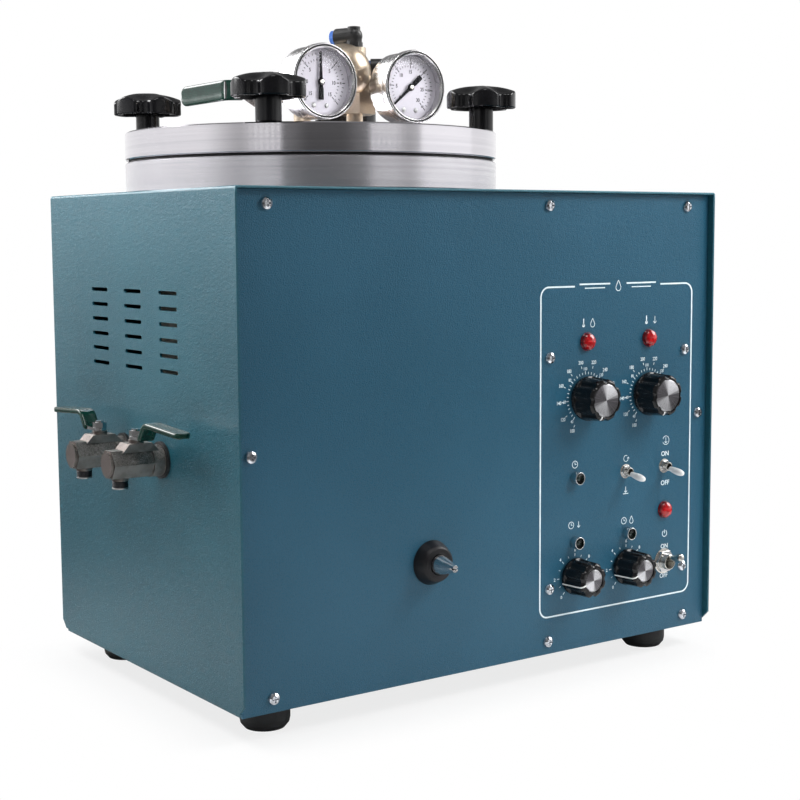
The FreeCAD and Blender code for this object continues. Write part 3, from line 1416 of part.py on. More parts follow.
def make_inlet():
    """Three-pin mains inlet."""
    x, z, y = inlet_x, inlet_z, back_panel_rear

    def slab(wide, tall, y0, y1):
        return block(x - wide / 2, x + wide / 2, y0, y1, z - tall / 2, z + tall / 2)

    flange = slab(inlet_flange_width, inlet_flange_height, y, y + inlet_flange_thickness)
    flange = softened(flange, 3.0, lambda e: along(e, back))
    shell = slab(inlet_width, inlet_height, y - inlet_depth, y + 1)
    body = joined([flange, shell]).cut(slab(socket_width, socket_height, y - socket_depth, y + 3))
    pins = [block(x + dx - 1, x + dx + 1, y - socket_depth - 1, y - 2, z + dz - 2, z + dz + 2)
            for dx, dz in ((-7, -2), (0, 2), (7, -2))]
    return joined([body] + pins)


put("power_inlet", make_inlet())

box = Part.makeCompound(list(nodes.values())).BoundBox
print(len(nodes), "nodes; box", round(box.XMin, 3), round(box.XMax, 3), round(box.YMin, 3),
      round(box.YMax, 3), round(box.ZMin, 3), round(box.ZMax, 3))
print("bend radii: feed tube", feed_bend, "air line", line_bend)
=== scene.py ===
import math

import bmesh
import bpy
import numpy as np
from mathutils import Matrix, Vector


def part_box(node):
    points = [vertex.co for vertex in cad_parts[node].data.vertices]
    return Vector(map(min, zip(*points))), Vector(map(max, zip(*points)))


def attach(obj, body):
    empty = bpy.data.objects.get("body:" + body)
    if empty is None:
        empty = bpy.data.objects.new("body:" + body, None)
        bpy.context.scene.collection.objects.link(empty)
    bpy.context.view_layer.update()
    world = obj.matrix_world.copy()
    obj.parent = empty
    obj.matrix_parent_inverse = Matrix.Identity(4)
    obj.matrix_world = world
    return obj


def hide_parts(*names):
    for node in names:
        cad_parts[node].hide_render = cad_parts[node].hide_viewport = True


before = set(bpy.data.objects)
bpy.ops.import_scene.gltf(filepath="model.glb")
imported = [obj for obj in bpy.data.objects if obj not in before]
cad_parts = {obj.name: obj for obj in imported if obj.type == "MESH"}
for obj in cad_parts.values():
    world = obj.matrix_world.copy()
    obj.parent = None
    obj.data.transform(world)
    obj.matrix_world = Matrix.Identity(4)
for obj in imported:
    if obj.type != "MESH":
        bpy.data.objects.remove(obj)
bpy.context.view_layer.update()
print("frame loaded with", len(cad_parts), "nodes")

scene = bpy.context.scene
scene.view_settings.view_transform = "Standard"

caseCorner = np.array([182.75, 131.5, 0.0])   # the frame's origin, measured from the case's own corner in mm
coverBottom = 20.5                            # the cover's lower edge above the floor
panelFace = 5.0                               # the front panel's face behind the cover's edge
tankCentre = (140.0, 137.5, 0.0)
lidTop = 383.9
gaugeHeight = 417.5
front = (0, -1, 0)


def toFrame(points):
    return (np.asarray(points, float) - caseCorner) * 0.001


# ---- camera, floor and light

cameraValues = {"place": (-0.62797, -0.92579, 0.31202), "azimuth": 35.345, "elevation": -6.123,
                "roll": -0.350, "lens": 68.75}


# a direction from its angle round the compass and its height angle, in radians
def direction(az, el):
    return Vector((math.sin(az) * math.cos(el), math.cos(az) * math.cos(el), math.sin(el)))


def addCamera(values):
    az, el, roll = (math.radians(values[k]) for k in ("azimuth", "elevation", "roll"))
    ahead = direction(az, el)
    level = Vector((math.cos(az), -math.sin(az), 0.0))
    rise = level.cross(ahead)
    side = level * math.cos(roll) + rise * math.sin(roll)
    top = rise * math.cos(roll) - level * math.sin(roll)
    lens = bpy.data.cameras.new("mainCamera")
    lens.lens = values["lens"]
    lens.sensor_width = 36.0
    lens.clip_end = 50.0
    camera = bpy.data.objects.new("mainCamera", lens)
    turn = Matrix((side, top, -ahead)).transposed().to_4x4()
    camera.matrix_world = Matrix.Translation(values["place"]) @ turn
    scene.collection.objects.link(camera)
    scene.camera = camera


def link(output, socket):
    output.id_data.links.new(output, socket)


# the empty node tree of a world or material
def freshTree(owner):
    owner.use_nodes = True
    owner.node_tree.nodes.clear()
    return owner.node_tree


# adds one node; values are fixed values or other nodes' outputs, by socket
def node(tree, kind, values=None, **settings):
    made = tree.nodes.new("ShaderNode" + kind)
    for key, value in settings.items():
        setattr(made, key, value)
    for key, value in (values or {}).items():
        if isinstance(value, bpy.types.NodeSocket):
            link(value, made.inputs[key])
        else:
            made.inputs[key].default_value = value
    return made


# one step of arithmetic, in the tree of the outputs that it is given
def calc(operation, *values, kind="Math"):
    tree = next(v.id_data for v in values if isinstance(v, bpy.types.NodeSocket))
    return node(tree, kind, dict(enumerate(values)), operation=operation).outputs[0]


def plus(a, b):
    return calc("ADD", a, b)


def minus(a, b):
    return calc("SUBTRACT", a, b)


def times(a, b):
    return calc("MULTIPLY", a, b)


# goes from a to b as the share goes from 0 to 1
def between(share, a, b):
    return calc("MULTIPLY_ADD", share, minus(b, a), a)


def flatLength(a, b):
    return calc("SQRT", plus(calc("POWER", a, 2.0), calc("POWER", b, 2.0)))


def vectorCalc(operation, *values):
    return calc(operation, *values, kind="VectorMath")


def split(vector):
    return node(vector.id_data, "SeparateXYZ", {0: vector}).outputs


def join(x, y, z=0.0):
    return node(x.id_data, "CombineXYZ", {0: x, 1: y, 2: z}).outputs[0]


def noise(vector, scale, detail):
    return node(vector.id_data, "TexNoise", {"Vector": vector, "Scale": scale, "Detail": detail}).outputs[0]


def blendColours(factor, first, second):
    return node(factor.id_data, "Mix", {0: factor, 6: first, 7: second}, data_type="RGBA").outputs[2]


def mixShaders(factor, first, second):
    return node(factor.id_data, "MixShader", {0: factor, 1: first.outputs[0], 2: second.outputs[0]})


def remap(value, lowIn, highIn, lowOut=0.0, highOut=1.0, smooth=False):
    kind = "SMOOTHSTEP" if smooth else "LINEAR"
    values = {"Value": value, "From Min": lowIn, "From Max": highIn, "To Min": lowOut, "To Max": highOut}
    return node(value.id_data, "MapRange", values, interpolation_type=kind).outputs["Result"]


# 1 for what the camera sees, also through glass, and 1 for what is seen in reflections
def lightPaths(tree):
    path = node(tree, "LightPath").outputs
    return calc("MAXIMUM", path["Is Camera Ray"], path["Is Transmission Ray"]), path["Is Glossy Ray"]


# a colour given as it looks on a screen, 0 to 255
def shade(red, green, blue):
    parts = np.array([red, green, blue]) / 255
    linear = np.where(parts <= 0.04045, parts / 12.92, ((parts + 0.055) / 1.055) ** 2.4)
    return (*linear.tolist(), 1.0)


studioValues = {
    "fill": 0.24,                 # world light on matt surfaces
    # the room in reflections: a dark end, then brighter in steps (rise, from and to this many degrees off it)
    "darkCentre": 203.5, "darkLevel": 0.10,
    "steps": ((0.10, 9.0, 23.0), (0.34, 24.5, 27.5), (0.50, 50.0, 78.0)),
    "stripePitch": 3.4, "stripeZone": (25.5, 28.0, 42.0, 50.0), "stripeEdge": (0.1, 0.9), "stripeDepth": 0.85,
    "below": (-0.12, -0.03, 0.2),                     # under the horizon it falls to this share
    "upperLevel": 0.26, "bandTop": (0.10, 0.26),      # the bright band ends at this height, as a sine
    # round boxes over the room: compass direction, height angle, half width in degrees, brightness
    "boxes": ((328.0, 30.0, 19.5, 12.0), (112.0, 32.0, 18.0, 8.0), (120.0, 0.0, 24.0, 1.25),
              (200.0, 66.0, 8.0, 12.0)),
    "boxEdge": (1.15, 0.9),       # a box fades between these shares of its half width
    "floor": 0.93, "floorReach": 1.5, "floorFade": (0.0, 0.05), "floorLift": 0.8,
    "floorShine": (0.12, 0.45, 0.8), "floorDark": 0.1,
    "caseHalf": (0.2025, 0.1375), "caseMiddle": (0.01975, 0.006),
}


def addWorld(values):
    scene.world = bpy.data.worlds.new("softStudio")
    tree = freshTree(scene.world)
    way = node(tree, "TexCoord").outputs["Generated"]
    x, y, z = split(way)
    centre = math.radians(values["darkCentre"])
    towards = plus(times(x, math.sin(centre)), times(y, math.cos(centre)))
    off = calc("ARCCOSINE", calc("DIVIDE", towards, calc("MAXIMUM", flatLength(x, y), 0.001)))
    off = times(off, 180 / math.pi)
    level = values["darkLevel"]
    for rise, start, end in values["steps"]:
        level = plus(level, remap(off, start, end, 0.0, rise, True))
    wave = calc("SINE", times(off, 2 * math.pi / values["stripePitch"]))
    start, full, fade, end = values["stripeZone"]
    zone = times(remap(off, start, full), remap(off, fade, end, 1.0, 0.0))
    level = plus(level, times(zone, remap(wave, *values["stripeEdge"], 0.0, values["stripeDepth"], True)))
    level = between(remap(z, *values["bandTop"], 0.0, 1.0, True), level, values["upperLevel"])
    outer, inner = values["boxEdge"]
    for compass, height, half, bright in values["boxes"]:
        aim, edge = direction(math.radians(compass), math.radians(height)), math.radians(half)
        near = node(tree, "VectorMath", {0: way, 1: aim}, operation="DOT_PRODUCT").outputs["Value"]
        box = remap(near, math.cos(edge * outer), math.cos(edge * inner), 0.0, bright, True)
        level = calc("MAXIMUM", level, box)
    low, high, share = values["below"]
    level = times(level, remap(z, low, high, share, 1.0, True))
    shown, glossy = lightPaths(tree)
    strength = between(shown, between(glossy, values["fill"], level), 1.0)
    back = node(tree, "Background", {"Color": (1.0, 1.0, 1.0, 1.0), "Strength": strength})
    node(tree, "OutputWorld", {0: back.outputs[0]})


lightValues = {
    # name: place, aimed at, width, height, watts
    "sideBox": ((-0.39, 0.03, 0.50), (-0.19, 0.01, 0.26), 0.45, 0.18, 1.75),
    "sideLow": ((-0.38, 0.0, 0.05), (-0.20, 0.0, 0.04), 0.30, 0.04, 0.12),
    "frontBox": ((0.42, -0.50, 0.63), (0.14, -0.12, 0.21), 0.32, 0.32, 4.1),
    "lowBox": ((0.05, -0.42, 0.06), (0.05, -0.13, 0.05), 0.40, 0.04, 0.30),
    "topBox": ((0.0, 0.2, 2.1), (0.0, 0.0, 0.3), 1.4, 1.4, 6.0),
    "rearBox": ((0.5, 1.7, 1.2), (0.0, 0.1, 0.2), 1.2, 1.2, 11.0),
    "rightBox": ((1.8, 0.4, 1.0), (0.2, 0.0, 0.2), 1.2, 1.2, 10.0),
}


# the lamps light matt surfaces only; what shines shows the room
def addLights(values):
    for name, (place, aim, width, height, watts) in values.items():
        lamp = bpy.data.lights.new(name, "AREA")
        lamp.shape = "RECTANGLE"
        lamp.size, lamp.size_y, lamp.energy = width, height, watts
        holder = bpy.data.objects.new(name, lamp)
        turn = (Vector(aim) - Vector(place)).to_track_quat("-Z", "Y").to_matrix().to_4x4()
        holder.matrix_world = Matrix.Translation(place) @ turn
        holder.visible_camera = False
        holder.visible_glossy = False
        scene.collection.objects.link(holder)


# pale and matt; for the camera it goes over to plain white beyond the case's outline
def addFloor(values):
    mesh = bpy.data.meshes.new("studioFloor")
    reach = values["floorReach"]
    corner = [(-reach, -reach, 0), (reach, -reach, 0), (reach, reach, 0), (-reach, reach, 0)]
    mesh.from_pydata(corner, [], [(0, 1, 2, 3)])
    floor = bpy.data.objects.new("studioFloor", mesh)
    scene.collection.objects.link(floor)
    mesh.materials.append(bpy.data.materials.new("paleFloor"))
    tree = freshTree(mesh.materials[0])
    gaps = []
    spot = split(node(tree, "TexCoord").outputs["Object"])
    for value, middle, half in zip(spot, values["caseMiddle"], values["caseHalf"]):
        gaps.append(calc("MAXIMUM", minus(calc("ABSOLUTE", minus(value, middle)), half), 0.0))
    distance = flatLength(*gaps)
    matt = node(tree, "BsdfDiffuse", {"Color": (*[values["floor"]] * 3, 1.0)})
    white = node(tree, "Emission", {"Color": (1.0, 1.0, 1.0, 1.0)})
    shown, glossy = lightPaths(tree)
    far = remap(distance, *values["floorFade"], values["floorLift"], 1.0, True)
    mix = mixShaders(times(far, shown), matt, white)
    near, away, share = values["floorShine"]      # in reflections it darkens with the distance from the case
    dark = node(tree, "Emission", {"Color": (*[values["floorDark"]] * 3, 1.0)})
    dim = times(remap(distance, near, away, 0.0, share, True), glossy)
    node(tree, "OutputMaterial", {0: mixShaders(dim, mix, dark).outputs[0]})


addCamera(cameraValues)
addWorld(studioValues)
addLights(lightValues)
addFloor(studioValues)
print("camera, light and floor set")

# ---- shader node groups


# every group has a Vector input, more inputs with their start values, and outputs that are plain values
def newGroup(name, inputs, outputs):
    tree = bpy.data.node_groups.new(name, "ShaderNodeTree")
    for label, value in {"Vector": (0, 0, 0), **inputs}.items():
        kind = "NodeSocketVector" if isinstance(value, tuple) else "NodeSocketFloat"
        tree.interface.new_socket(name=label, in_out="INPUT", socket_type=kind).default_value = value
    for label in outputs:
        tree.interface.new_socket(name=label, in_out="OUTPUT", socket_type="NodeSocketFloat")
    return tree, tree.nodes.new("NodeGroupInput").outputs, tree.nodes.new("NodeGroupOutput").inputs


def useGroup(group, coords, **values):
    return node(coords.id_data, "Group", {"Vector": coords, **values}, node_tree=group).outputs


# two sizes of noise: a height for the bump and a 0 to 1 tone
def makeGrainGroup():
    tree, given, result = newGroup("fineGrain", {"Scale": 900.0}, ("Height", "Tone"))
    fine = noise(given["Vector"], given["Scale"], 2.0)
    wide = noise(given["Vector"], times(given["Scale"], 0.3), 1.0)
    link(plus(times(fine, 0.7), times(wide, 0.3)), result["Height"])
    link(remap(fine, 0.34, 0.66), result["Tone"])
    return tree


# slow patches between a low and a high value, for roughness and handled places
def makePatchGroup():
    tree, given, result = newGroup("slowPatches", {"Scale": 25.0, "Low": 0.3, "High": 0.5}, ("Value", "Mask"))
    mask = remap(noise(given["Vector"], given["Scale"], 4.0), 0.32, 0.68, 0.0, 1.0, True)
    link(remap(mask, 0.0, 1.0, given["Low"], given["High"]), result["Value"])
    link(mask, result["Mask"])
    return tree


# 1 along the twelve edges of a box and 0 away from them: the middle one of the three distances to its faces
def makeEdgeGroup():
    inputs = {"Low": (0, 0, 0), "High": (1, 1, 1), "Width": 0.001}
    tree, given, result = newGroup("boxEdges", inputs, ("Mask",))
    low = vectorCalc("ABSOLUTE", vectorCalc("SUBTRACT", given["Vector"], given["Low"]))
    high = vectorCalc("ABSOLUTE", vectorCalc("SUBTRACT", given["High"], given["Vector"]))
    a, b, c = split(vectorCalc("MINIMUM", low, high))
    middle = calc("MAXIMUM", calc("MINIMUM", a, b), calc("MINIMUM", calc("MAXIMUM", a, b), c))
    link(remap(middle, 0.0, given["Width"], 1.0, 0.0, True), result["Mask"])
    return tree


# lathe marks round the Z axis: noise that changes fast along radius plus height and slowly round the axis
def makeTurnedGroup():
    tree, given, result = newGroup("turnedMarks", {"Pitch": 2500.0, "Wander": 2.0}, ("Height", "Tone"))
    x, y, z = split(given["Vector"])
    around = split(vectorCalc("NORMALIZE", join(x, y)))
    along = times(plus(flatLength(x, y), z), given["Pitch"])
    vector = join(along, times(around[0], given["Wander"]), times(around[1], given["Wander"]))
    link(noise(vector, 1.0, 3.0), result["Height"])
    link(remap(noise(vector, 0.13, 2.0), 0.3, 0.7), result["Tone"])
    return tree


# a painted reflection of a spun disc about Z: the bow-tie of two bright and two dark wedges, with fine rays
def makeFanGroup():
    tree, given, result = newGroup("spunBowTieReflection", {"Turn": 0.0}, ("Tone",))
    x, y, z = split(given["Vector"])
    wedge = calc("COSINE", times(minus(calc("ARCTAN2", y, x), given["Turn"]), 2.0))
    rays = noise(vectorCalc("NORMALIZE", join(x, y)), 9.0, 3.0)
    tone = plus(remap(wedge, -0.55, 0.75, 0.0, 1.0, True), times(minus(rays, 0.5), 0.9))
    link(tone, result["Tone"])
    return tree


grainGroup = makeGrainGroup()
patchGroup = makePatchGroup()
edgeGroup = makeEdgeGroup()
turnedGroup = makeTurnedGroup()
bowTieReflectionGroup = makeFanGroup()

# ---- materials


def newMaterial(name, **fixed):
    material = bpy.data.materials.new(name)
    tree = freshTree(material)
    shader = node(tree, "BsdfPrincipled", {k.replace("_", " "): v for k, v in fixed.items()})
    node(tree, "OutputMaterial", {0: shader.outputs[0]})
    return material, shader, node(tree, "TexCoord").outputs["Object"]


def patches(coords, scale, rough):
    return useGroup(patchGroup, coords, Scale=scale, Low=rough[0], High=rough[1])


# two colours mixed by a tone and a mask, whose shares add up to one
def twoTone(first, second, tone, mask, share):
    return blendColours(plus(times(tone, share), times(mask, 1 - share)), shade(*first), shade(*second))


# joins a colour, a roughness and a bump of this depth to a shader
def dress(shader, colour, rough, height, depth):
    bump = node(shader.id_data, "Bump", {"Height": height, "Distance": depth, "Strength": 1.0})
    for output, label in ((colour, "Base Color"), (rough, "Roughness"), (bump.outputs[0], "Normal")):
        link(output, shader.inputs[label])


plainValues = {
    # material, two colours, roughness from and to, grain's scale and depth, patches' scale, metal, gloss
    "zinc": ("zincPlate", (150, 150, 152), (205, 205, 204), (0.24, 0.42), 2400.0, 0.00002, 90.0, 1.0),
    "blackSteel": ("blackSteel", (40, 40, 42), (64, 64, 66), (0.4, 0.5), 2000.0, 0.00003, 70.0, 1.0),
    "chrome": ("brightPlate", (205, 205, 206), (228, 228, 228), (0.07, 0.15), 3000.0, 0.000006, 120.0, 1.0),
    "screws": ("screwPlate", (170, 174, 180), (236, 238, 242), (0.08, 0.16), 1400.0, 0.00002, 300.0, 1.0),
    "nickel": ("satinNickel", (196, 194, 188), (222, 220, 214), (0.16, 0.26), 2600.0, 0.00001, 80.0, 1.0),
    "gaugeSteel": ("gaugeSteel", (216, 215, 216), (234, 233, 234), (0.22, 0.30), 2200.0, 0.000008, 60.0, 1.0),
    "brass": ("platedBrass", (204, 182, 158), (232, 218, 198), (0.30, 0.42), 1800.0, 0.00002, 70.0, 1.0),
    "aluminium": ("plainAluminium", (186, 187, 190), (214, 214, 217), (0.3, 0.42), 1800.0, 0.00002, 60.0,
                  1.0),
    "blackGloss": ("blackGloss", (9, 9, 11), (19, 19, 22), (0.14, 0.24), 1500.0, 0.00002, 60.0, 0.0, 0.32),
    "knobBlack": ("knobBlack", (8, 8, 10), (17, 17, 19), (0.10, 0.20), 1800.0, 0.00001, 90.0, 0.0, 0.4),
    "blackSatin": ("blackSatin", (26, 26, 27), (44, 44, 44), (0.34, 0.46), 2000.0, 0.00003, 60.0),
    "rubber": ("footRubber", (17, 17, 18), (33, 33, 34), (0.6, 0.8), 1600.0, 0.00006, 50.0),
    "collar": ("collarBlack", (12, 12, 15), (24, 23, 26), (0.34, 0.46), 1700.0, 0.00003, 80.0, 0.0, 0.35),
    "green": ("greenVinyl", (3, 36, 29), (8, 52, 42), (0.12, 0.2), 700.0, 0.00004, 60.0, 0.0, 0.4),
    "white": ("whiteVinyl", (228, 228, 228), (244, 244, 242), (0.28, 0.38), 1500.0, 0.00002, 90.0),
    "blue": ("bluePlastic", (60, 110, 205), (92, 140, 225), (0.25, 0.35), 1500.0, 0.00002, 90.0),
    "dial": ("dialWhite", (186, 183, 192), (198, 195, 204), (0.5, 0.6), 1500.0, 0.00001, 40.0, 0.0, 0.2),
    "ink": ("blackInk", (10, 10, 13), (24, 24, 28), (0.55, 0.65), 2500.0, 0.00001, 90.0, 0.0, 0.1),
    "whiteInk": ("whiteInk", (206, 224, 230), (232, 242, 246), (0.4, 0.5), 2500.0, 0.00002, 90.0),
    "darkLens": ("darkLens", (6, 12, 14), (20, 38, 34), (0.06, 0.14), 900.0, 0.00002, 200.0),
    "felt": ("felt", (176, 172, 160), (206, 202, 192), (0.85, 0.95), 900.0, 0.0003, 40.0),
    "board": ("boardGreen", (10, 70, 38), (16, 92, 50), (0.3, 0.4), 1500.0, 0.00002, 60.0),
    "winding": ("windingTape", (196, 160, 60), (220, 186, 90), (0.35, 0.5), 1200.0, 0.00004, 60.0),
}


# first and second colour mixed by the grain and the patches, roughness between two values, a fine bump
def plainFinish(name, first, second, rough, grainScale, depth, patchScale, metal=0.0, gloss=0.5):
    material, shader, coords = newMaterial(name, Metallic=metal, Specular_IOR_Level=gloss)
    grain = useGroup(grainGroup, coords, Scale=grainScale)
    patch = patches(coords, patchScale, rough)
    colour = twoTone(first, second, grain["Tone"], patch["Mask"], 0.5)
    dress(shader, colour, patch["Value"], grain["Height"], depth)
    return material


# the edge colour is a painted highlight, laid along the cover's top edges only
paintValues = {"grain": 1250.0, "depth": 0.00034, "rough": (0.30, 0.38), "patches": 6.0, "gloss": 0.34,
               "toneShare": 0.65, "edge": (120, 160, 172), "edgeWidth": 0.0014, "highlightShare": 0.6,
               "highlightHeights": (0.3385, 0.3405), "glint": (0.75, 1.0, 0.0, -0.16)}


# powder coat over folded sheet, with a painted highlight: paler along its top edges
def paintFinish(name, first, second, low, high):
    values = paintValues
    material, shader, coords = newMaterial(name, Specular_IOR_Level=values["gloss"])
    grain = useGroup(grainGroup, coords, Scale=values["grain"])
    patch = patches(coords, values["patches"], values["rough"])
    base = twoTone(first, second, grain["Tone"], patch["Mask"], values["toneShare"])
    edges = useGroup(edgeGroup, coords, Low=low, High=high, Width=values["edgeWidth"])
    # painted highlight: the top edges turn pale
    topEdgeHighlight = times(edges["Mask"], remap(split(coords)[2], *values["highlightHeights"]))
    base = blendColours(times(topEdgeHighlight, values["highlightShare"]), base, shade(*values["edge"]))
    rough = plus(patch["Value"], remap(grain["Tone"], *values["glint"]))
    dress(shader, base, rough, grain["Height"], values["depth"])
    return material


def centred(coords, centre, turn=(0.0, 0.0, 0.0)):
    values = {"Vector": coords, "Location": centre, "Rotation": turn}
    return node(coords.id_data, "Mapping", values, vector_type="TEXTURE").outputs[0]


turnedValues = {
    # material, two colours, bump's depth, roughness from and to, how much of it is metal
    "turned": ("turnedLid", (202, 200, 206), (224, 221, 226), 0.000015, (0.10, 0.15), 1.0),
    "turnedFlange": ("turnedFlange", (184, 182, 188), (212, 210, 215), 0.00002, (0.17, 0.23), 0.78),
}


latheValues = {"pitch": 2600.0, "wander": 2.0, "patches": 14.0, "toneShare": 0.6, "streak": 0.25}


# metal cut on a lathe about the tank's axis
def turnedFinish(name, first, second, depth, rough, metal):
    values = latheValues
    material, shader, coords = newMaterial(name, Metallic=metal)
    local = centred(coords, toFrame(tankCentre).tolist())
    marks = useGroup(turnedGroup, local, Pitch=values["pitch"], Wander=values["wander"])
    patch = patches(coords, values["patches"], rough)
    colour = twoTone(first, second, marks["Tone"], patch["Mask"], values["toneShare"])
    streak = calc("MULTIPLY_ADD", minus(marks["Height"], 0.5), values["streak"], patch["Value"])
    dress(shader, colour, streak, marks["Height"], depth)
    return material


capValues = {"dark": (96, 94, 98), "bright": (226, 226, 230), "rough": (0.24, 0.40), "pitch": 9000.0,
             "wander": 1.0, "depth": 0.00001}


# spun cap whose axis points to the front; its colour is a painted bow-tie reflection
def capFinish(name, centre, turn):
    material, shader, coords = newMaterial(name, Metallic=1.0)
    local = centred(coords, centre, (math.pi / 2, 0.0, 0.0))
    tone = useGroup(bowTieReflectionGroup, local, Turn=turn)["Tone"]
    marks = useGroup(turnedGroup, local, Pitch=capValues["pitch"], Wander=capValues["wander"])["Height"]
    # painted reflection: the bow-tie's dark and bright wedges
    colour = blendColours(tone, shade(*capValues["dark"]), shade(*capValues["bright"]))
    dress(shader, colour, remap(marks, 0.3, 0.7, *capValues["rough"]), marks, capValues["depth"])
    return material


# the ends colour is painted shade, for faces turned to the left
castValues = {"first": (140, 134, 129), "second": (168, 162, 157), "pits": (76, 68, 64), "ends": (78, 68, 66),
              "rough": (0.42, 0.58), "patches": 180.0, "grain": 1900.0, "depth": 0.0004, "pitShare": 0.7,
              "rawFrom": (-0.1, 0.35), "sawn": (-0.95, -0.3, 0.8, 0.0)}


# rough cast upper faces, smoother lower ones, and painted shade on the ends that face left
def castFinish(values):
    material, shader, coords = newMaterial("castNickel", Metallic=1.0)
    coarse = useGroup(grainGroup, coords, Scale=values["grain"])["Height"]
    patch = patches(coords, values["patches"], values["rough"])
    facing = split(node(coords.id_data, "NewGeometry").outputs["Normal"])
    raw = remap(facing[2], *values["rawFrom"], 0.0, 1.0, True)
    pits = times(remap(coarse, 0.56, 0.44), raw)
    base = blendColours(patch["Mask"], shade(*values["first"]), shade(*values["second"]))
    base = blendColours(times(pits, values["pitShare"]), base, shade(*values["pits"]))
    # painted shade: faces turned to the left take the dark ends colour
    base = blendColours(remap(facing[0], *values["sawn"], True), base, shade(*values["ends"]))
    dress(shader, base, patch["Value"], times(coarse, raw), values["depth"])
    return material


glassValues = {"colour": (1.0, 1.0, 1.0, 1.0), "bend": 1.12, "patches": 60.0, "rough": (0.0, 0.03)}


# clear, and open to the light that falls through it
def glassFinish(values):
    clear = values["colour"]
    material, shader, coords = newMaterial("gaugeGlass", Base_Color=clear, IOR=values["bend"],
                                           Transmission_Weight=1.0)
    link(patches(coords, values["patches"], values["rough"])["Value"], shader.inputs["Roughness"])
    outward = shader.outputs[0].links[0].to_socket
    through = node(coords.id_data, "BsdfTransparent", {"Color": clear})
    shadow = node(coords.id_data, "LightPath").outputs["Is Shadow Ray"]
    link(mixShaders(shadow, shader, through).outputs[0], outward)
    return material


redValues = {"dark": (60, 0, 5), "bright": (188, 2, 12), "facetGlints": 520.0, "rough": (0.10, 0.2),
             "depth": 0.00003, "coat": 0.8, "coatRough": 0.02, "gloss": 0.3}


# red moulded lens about a ray to the front, with painted light: brighter in patches in its middle, where it
# faces the front, and painted shade towards its rim
def redFinish(values):
    material, shader, coords = newMaterial("redLens", Coat_Weight=values["coat"],
                                           Coat_Roughness=values["coatRough"],
                                           Specular_IOR_Level=values["gloss"])
    patch = patches(coords, values["facetGlints"], values["rough"])
    slope = split(node(coords.id_data, "NewGeometry").outputs["Normal"])[1]
    # painted light: brighter where the lens faces the front and in patches, painted shade towards the rim
    middle = times(remap(slope, -0.35, -0.98, 0.15, 1.0, True), remap(patch["Mask"], 0.0, 1.0, 0.45, 1.0))
    colour = blendColours(middle, shade(*values["dark"]), shade(*values["bright"]))
    dress(shader, colour, patch["Value"], patch["Mask"], values["depth"])
    return material


coverBox = [tuple(corner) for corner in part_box("cabinet_cover")]
farBox = ((-9.0, -9.0, -9.0), (9.0, 9.0, 9.0))     # no edge of it is near, so no edge gets the painted highlight
finishes = {key: plainFinish(*row) for key, row in plainValues.items()}
finishes.update({key: turnedFinish(*row) for key, row in turnedValues.items()})
finishes["paint"] = paintFinish("casePaint", (22, 70, 84), (40, 91, 104), *coverBox)
finishes["panelPaint"] = paintFinish("panelPaint", (28, 71, 91), (44, 89, 112), *farBox)
finishes["cast"] = castFinish(castValues)
finishes["lensGlass"] = glassFinish(glassValues)
finishes["red"] = redFinish(redValues)
print("materials made:", len(finishes) + 1)

nodeFinish = {
    "paint": ["base_pan", "back_panel"],
    "turned": ["tank_lid"],
    "turnedFlange": ["wax_tank"],
    "zinc": ["tank_stand", "heaters"],
    "blackSteel": ["clamp_studs"],
    "chrome": ["drain_lever_front", "drain_lever_rear", "exhaust_lever"],
    "screws": ["case_fasteners", "board_mounts"],
    "nickel": ["toggle_switch_bodies", "rear_hose_tails"],
    "blackSatin": ["power_inlet", "solenoid_valve", "potentiometers", "pump_motor"],
    "rubber": ["rubber_feet", "drain_washers", "lid_seal", "air_line"],
    "brass": ["feed_tube", "drain_pipes"],
    "aluminium": ["nozzle_valve_block", "vacuum_pump"],
    "dial": ["gauge_dials"],
    "lensGlass": ["gauge_lenses"],
    "felt": ["insulation_jacket"],
    "board": ["circuit_board"],
    "winding": ["transformer"],
}


def paintNodes():
    for finish, names in nodeFinish.items():
        for name in names:
            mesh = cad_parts[name].data
            mesh.materials.clear()
            mesh.materials.append(finishes[finish])


paintNodes()

# ---- mesh helpers


# quads between neighbouring rows of a grid whose columns run round
def gridFaces(rows, columns, wrapRows):
    index = np.arange(rows * columns).reshape(rows, columns)
    if wrapRows:
        index = np.vstack([index, index[:1]])
    after = np.roll(index, -1, axis=1)
    return np.stack([index[:-1], after[:-1], after[1:], index[1:]], -1).reshape(-1, 4)


# a grid of points to vertices and faces; open ends are closed by a fan to their middle
def skin(grid, wrapRows=False):
    rows, columns = grid.shape[:2]
    quads = gridFaces(rows, columns, wrapRows)
    vertices = grid.reshape(-1, 3)
    if wrapRows:
        return vertices, [quads]
    first = np.arange(columns)
    last = first + (rows - 1) * columns
    total = np.full(columns, rows * columns)
    fans = np.concatenate([np.stack([np.roll(first, -1), first, total], -1),
                           np.stack([last, np.roll(last, -1), total + 1], -1)])
    return np.concatenate([vertices, grid[:1].mean(1), grid[-1:].mean(1)]), [quads, fans]


# joins parts, each points in mm and groups of faces, into one mesh in the frame's metres
def joinParts(name, parts):
    vertices, faces, shift = [], [], 0
    for points, groups in parts:
        vertices.append(toFrame(points))
        for group in groups:
            faces += (group + shift).tolist()
        shift += len(points)
    mesh = bpy.data.meshes.new(name)
    mesh.from_pydata(np.concatenate(vertices).tolist(), [], faces)
    return mesh


def editMesh(mesh, work):
    shell = bmesh.new()
    shell.from_mesh(mesh)
    work(shell)
    shell.to_mesh(mesh)
    shell.free()


def addPiece(name, mesh, body, finish, replaces=None):
    mesh.materials.append(finishes[finish])
    piece = bpy.data.objects.new(name, mesh)
    scene.collection.objects.link(piece)
    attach(piece, body)
    if replaces:
        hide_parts(replaces)
    return piece


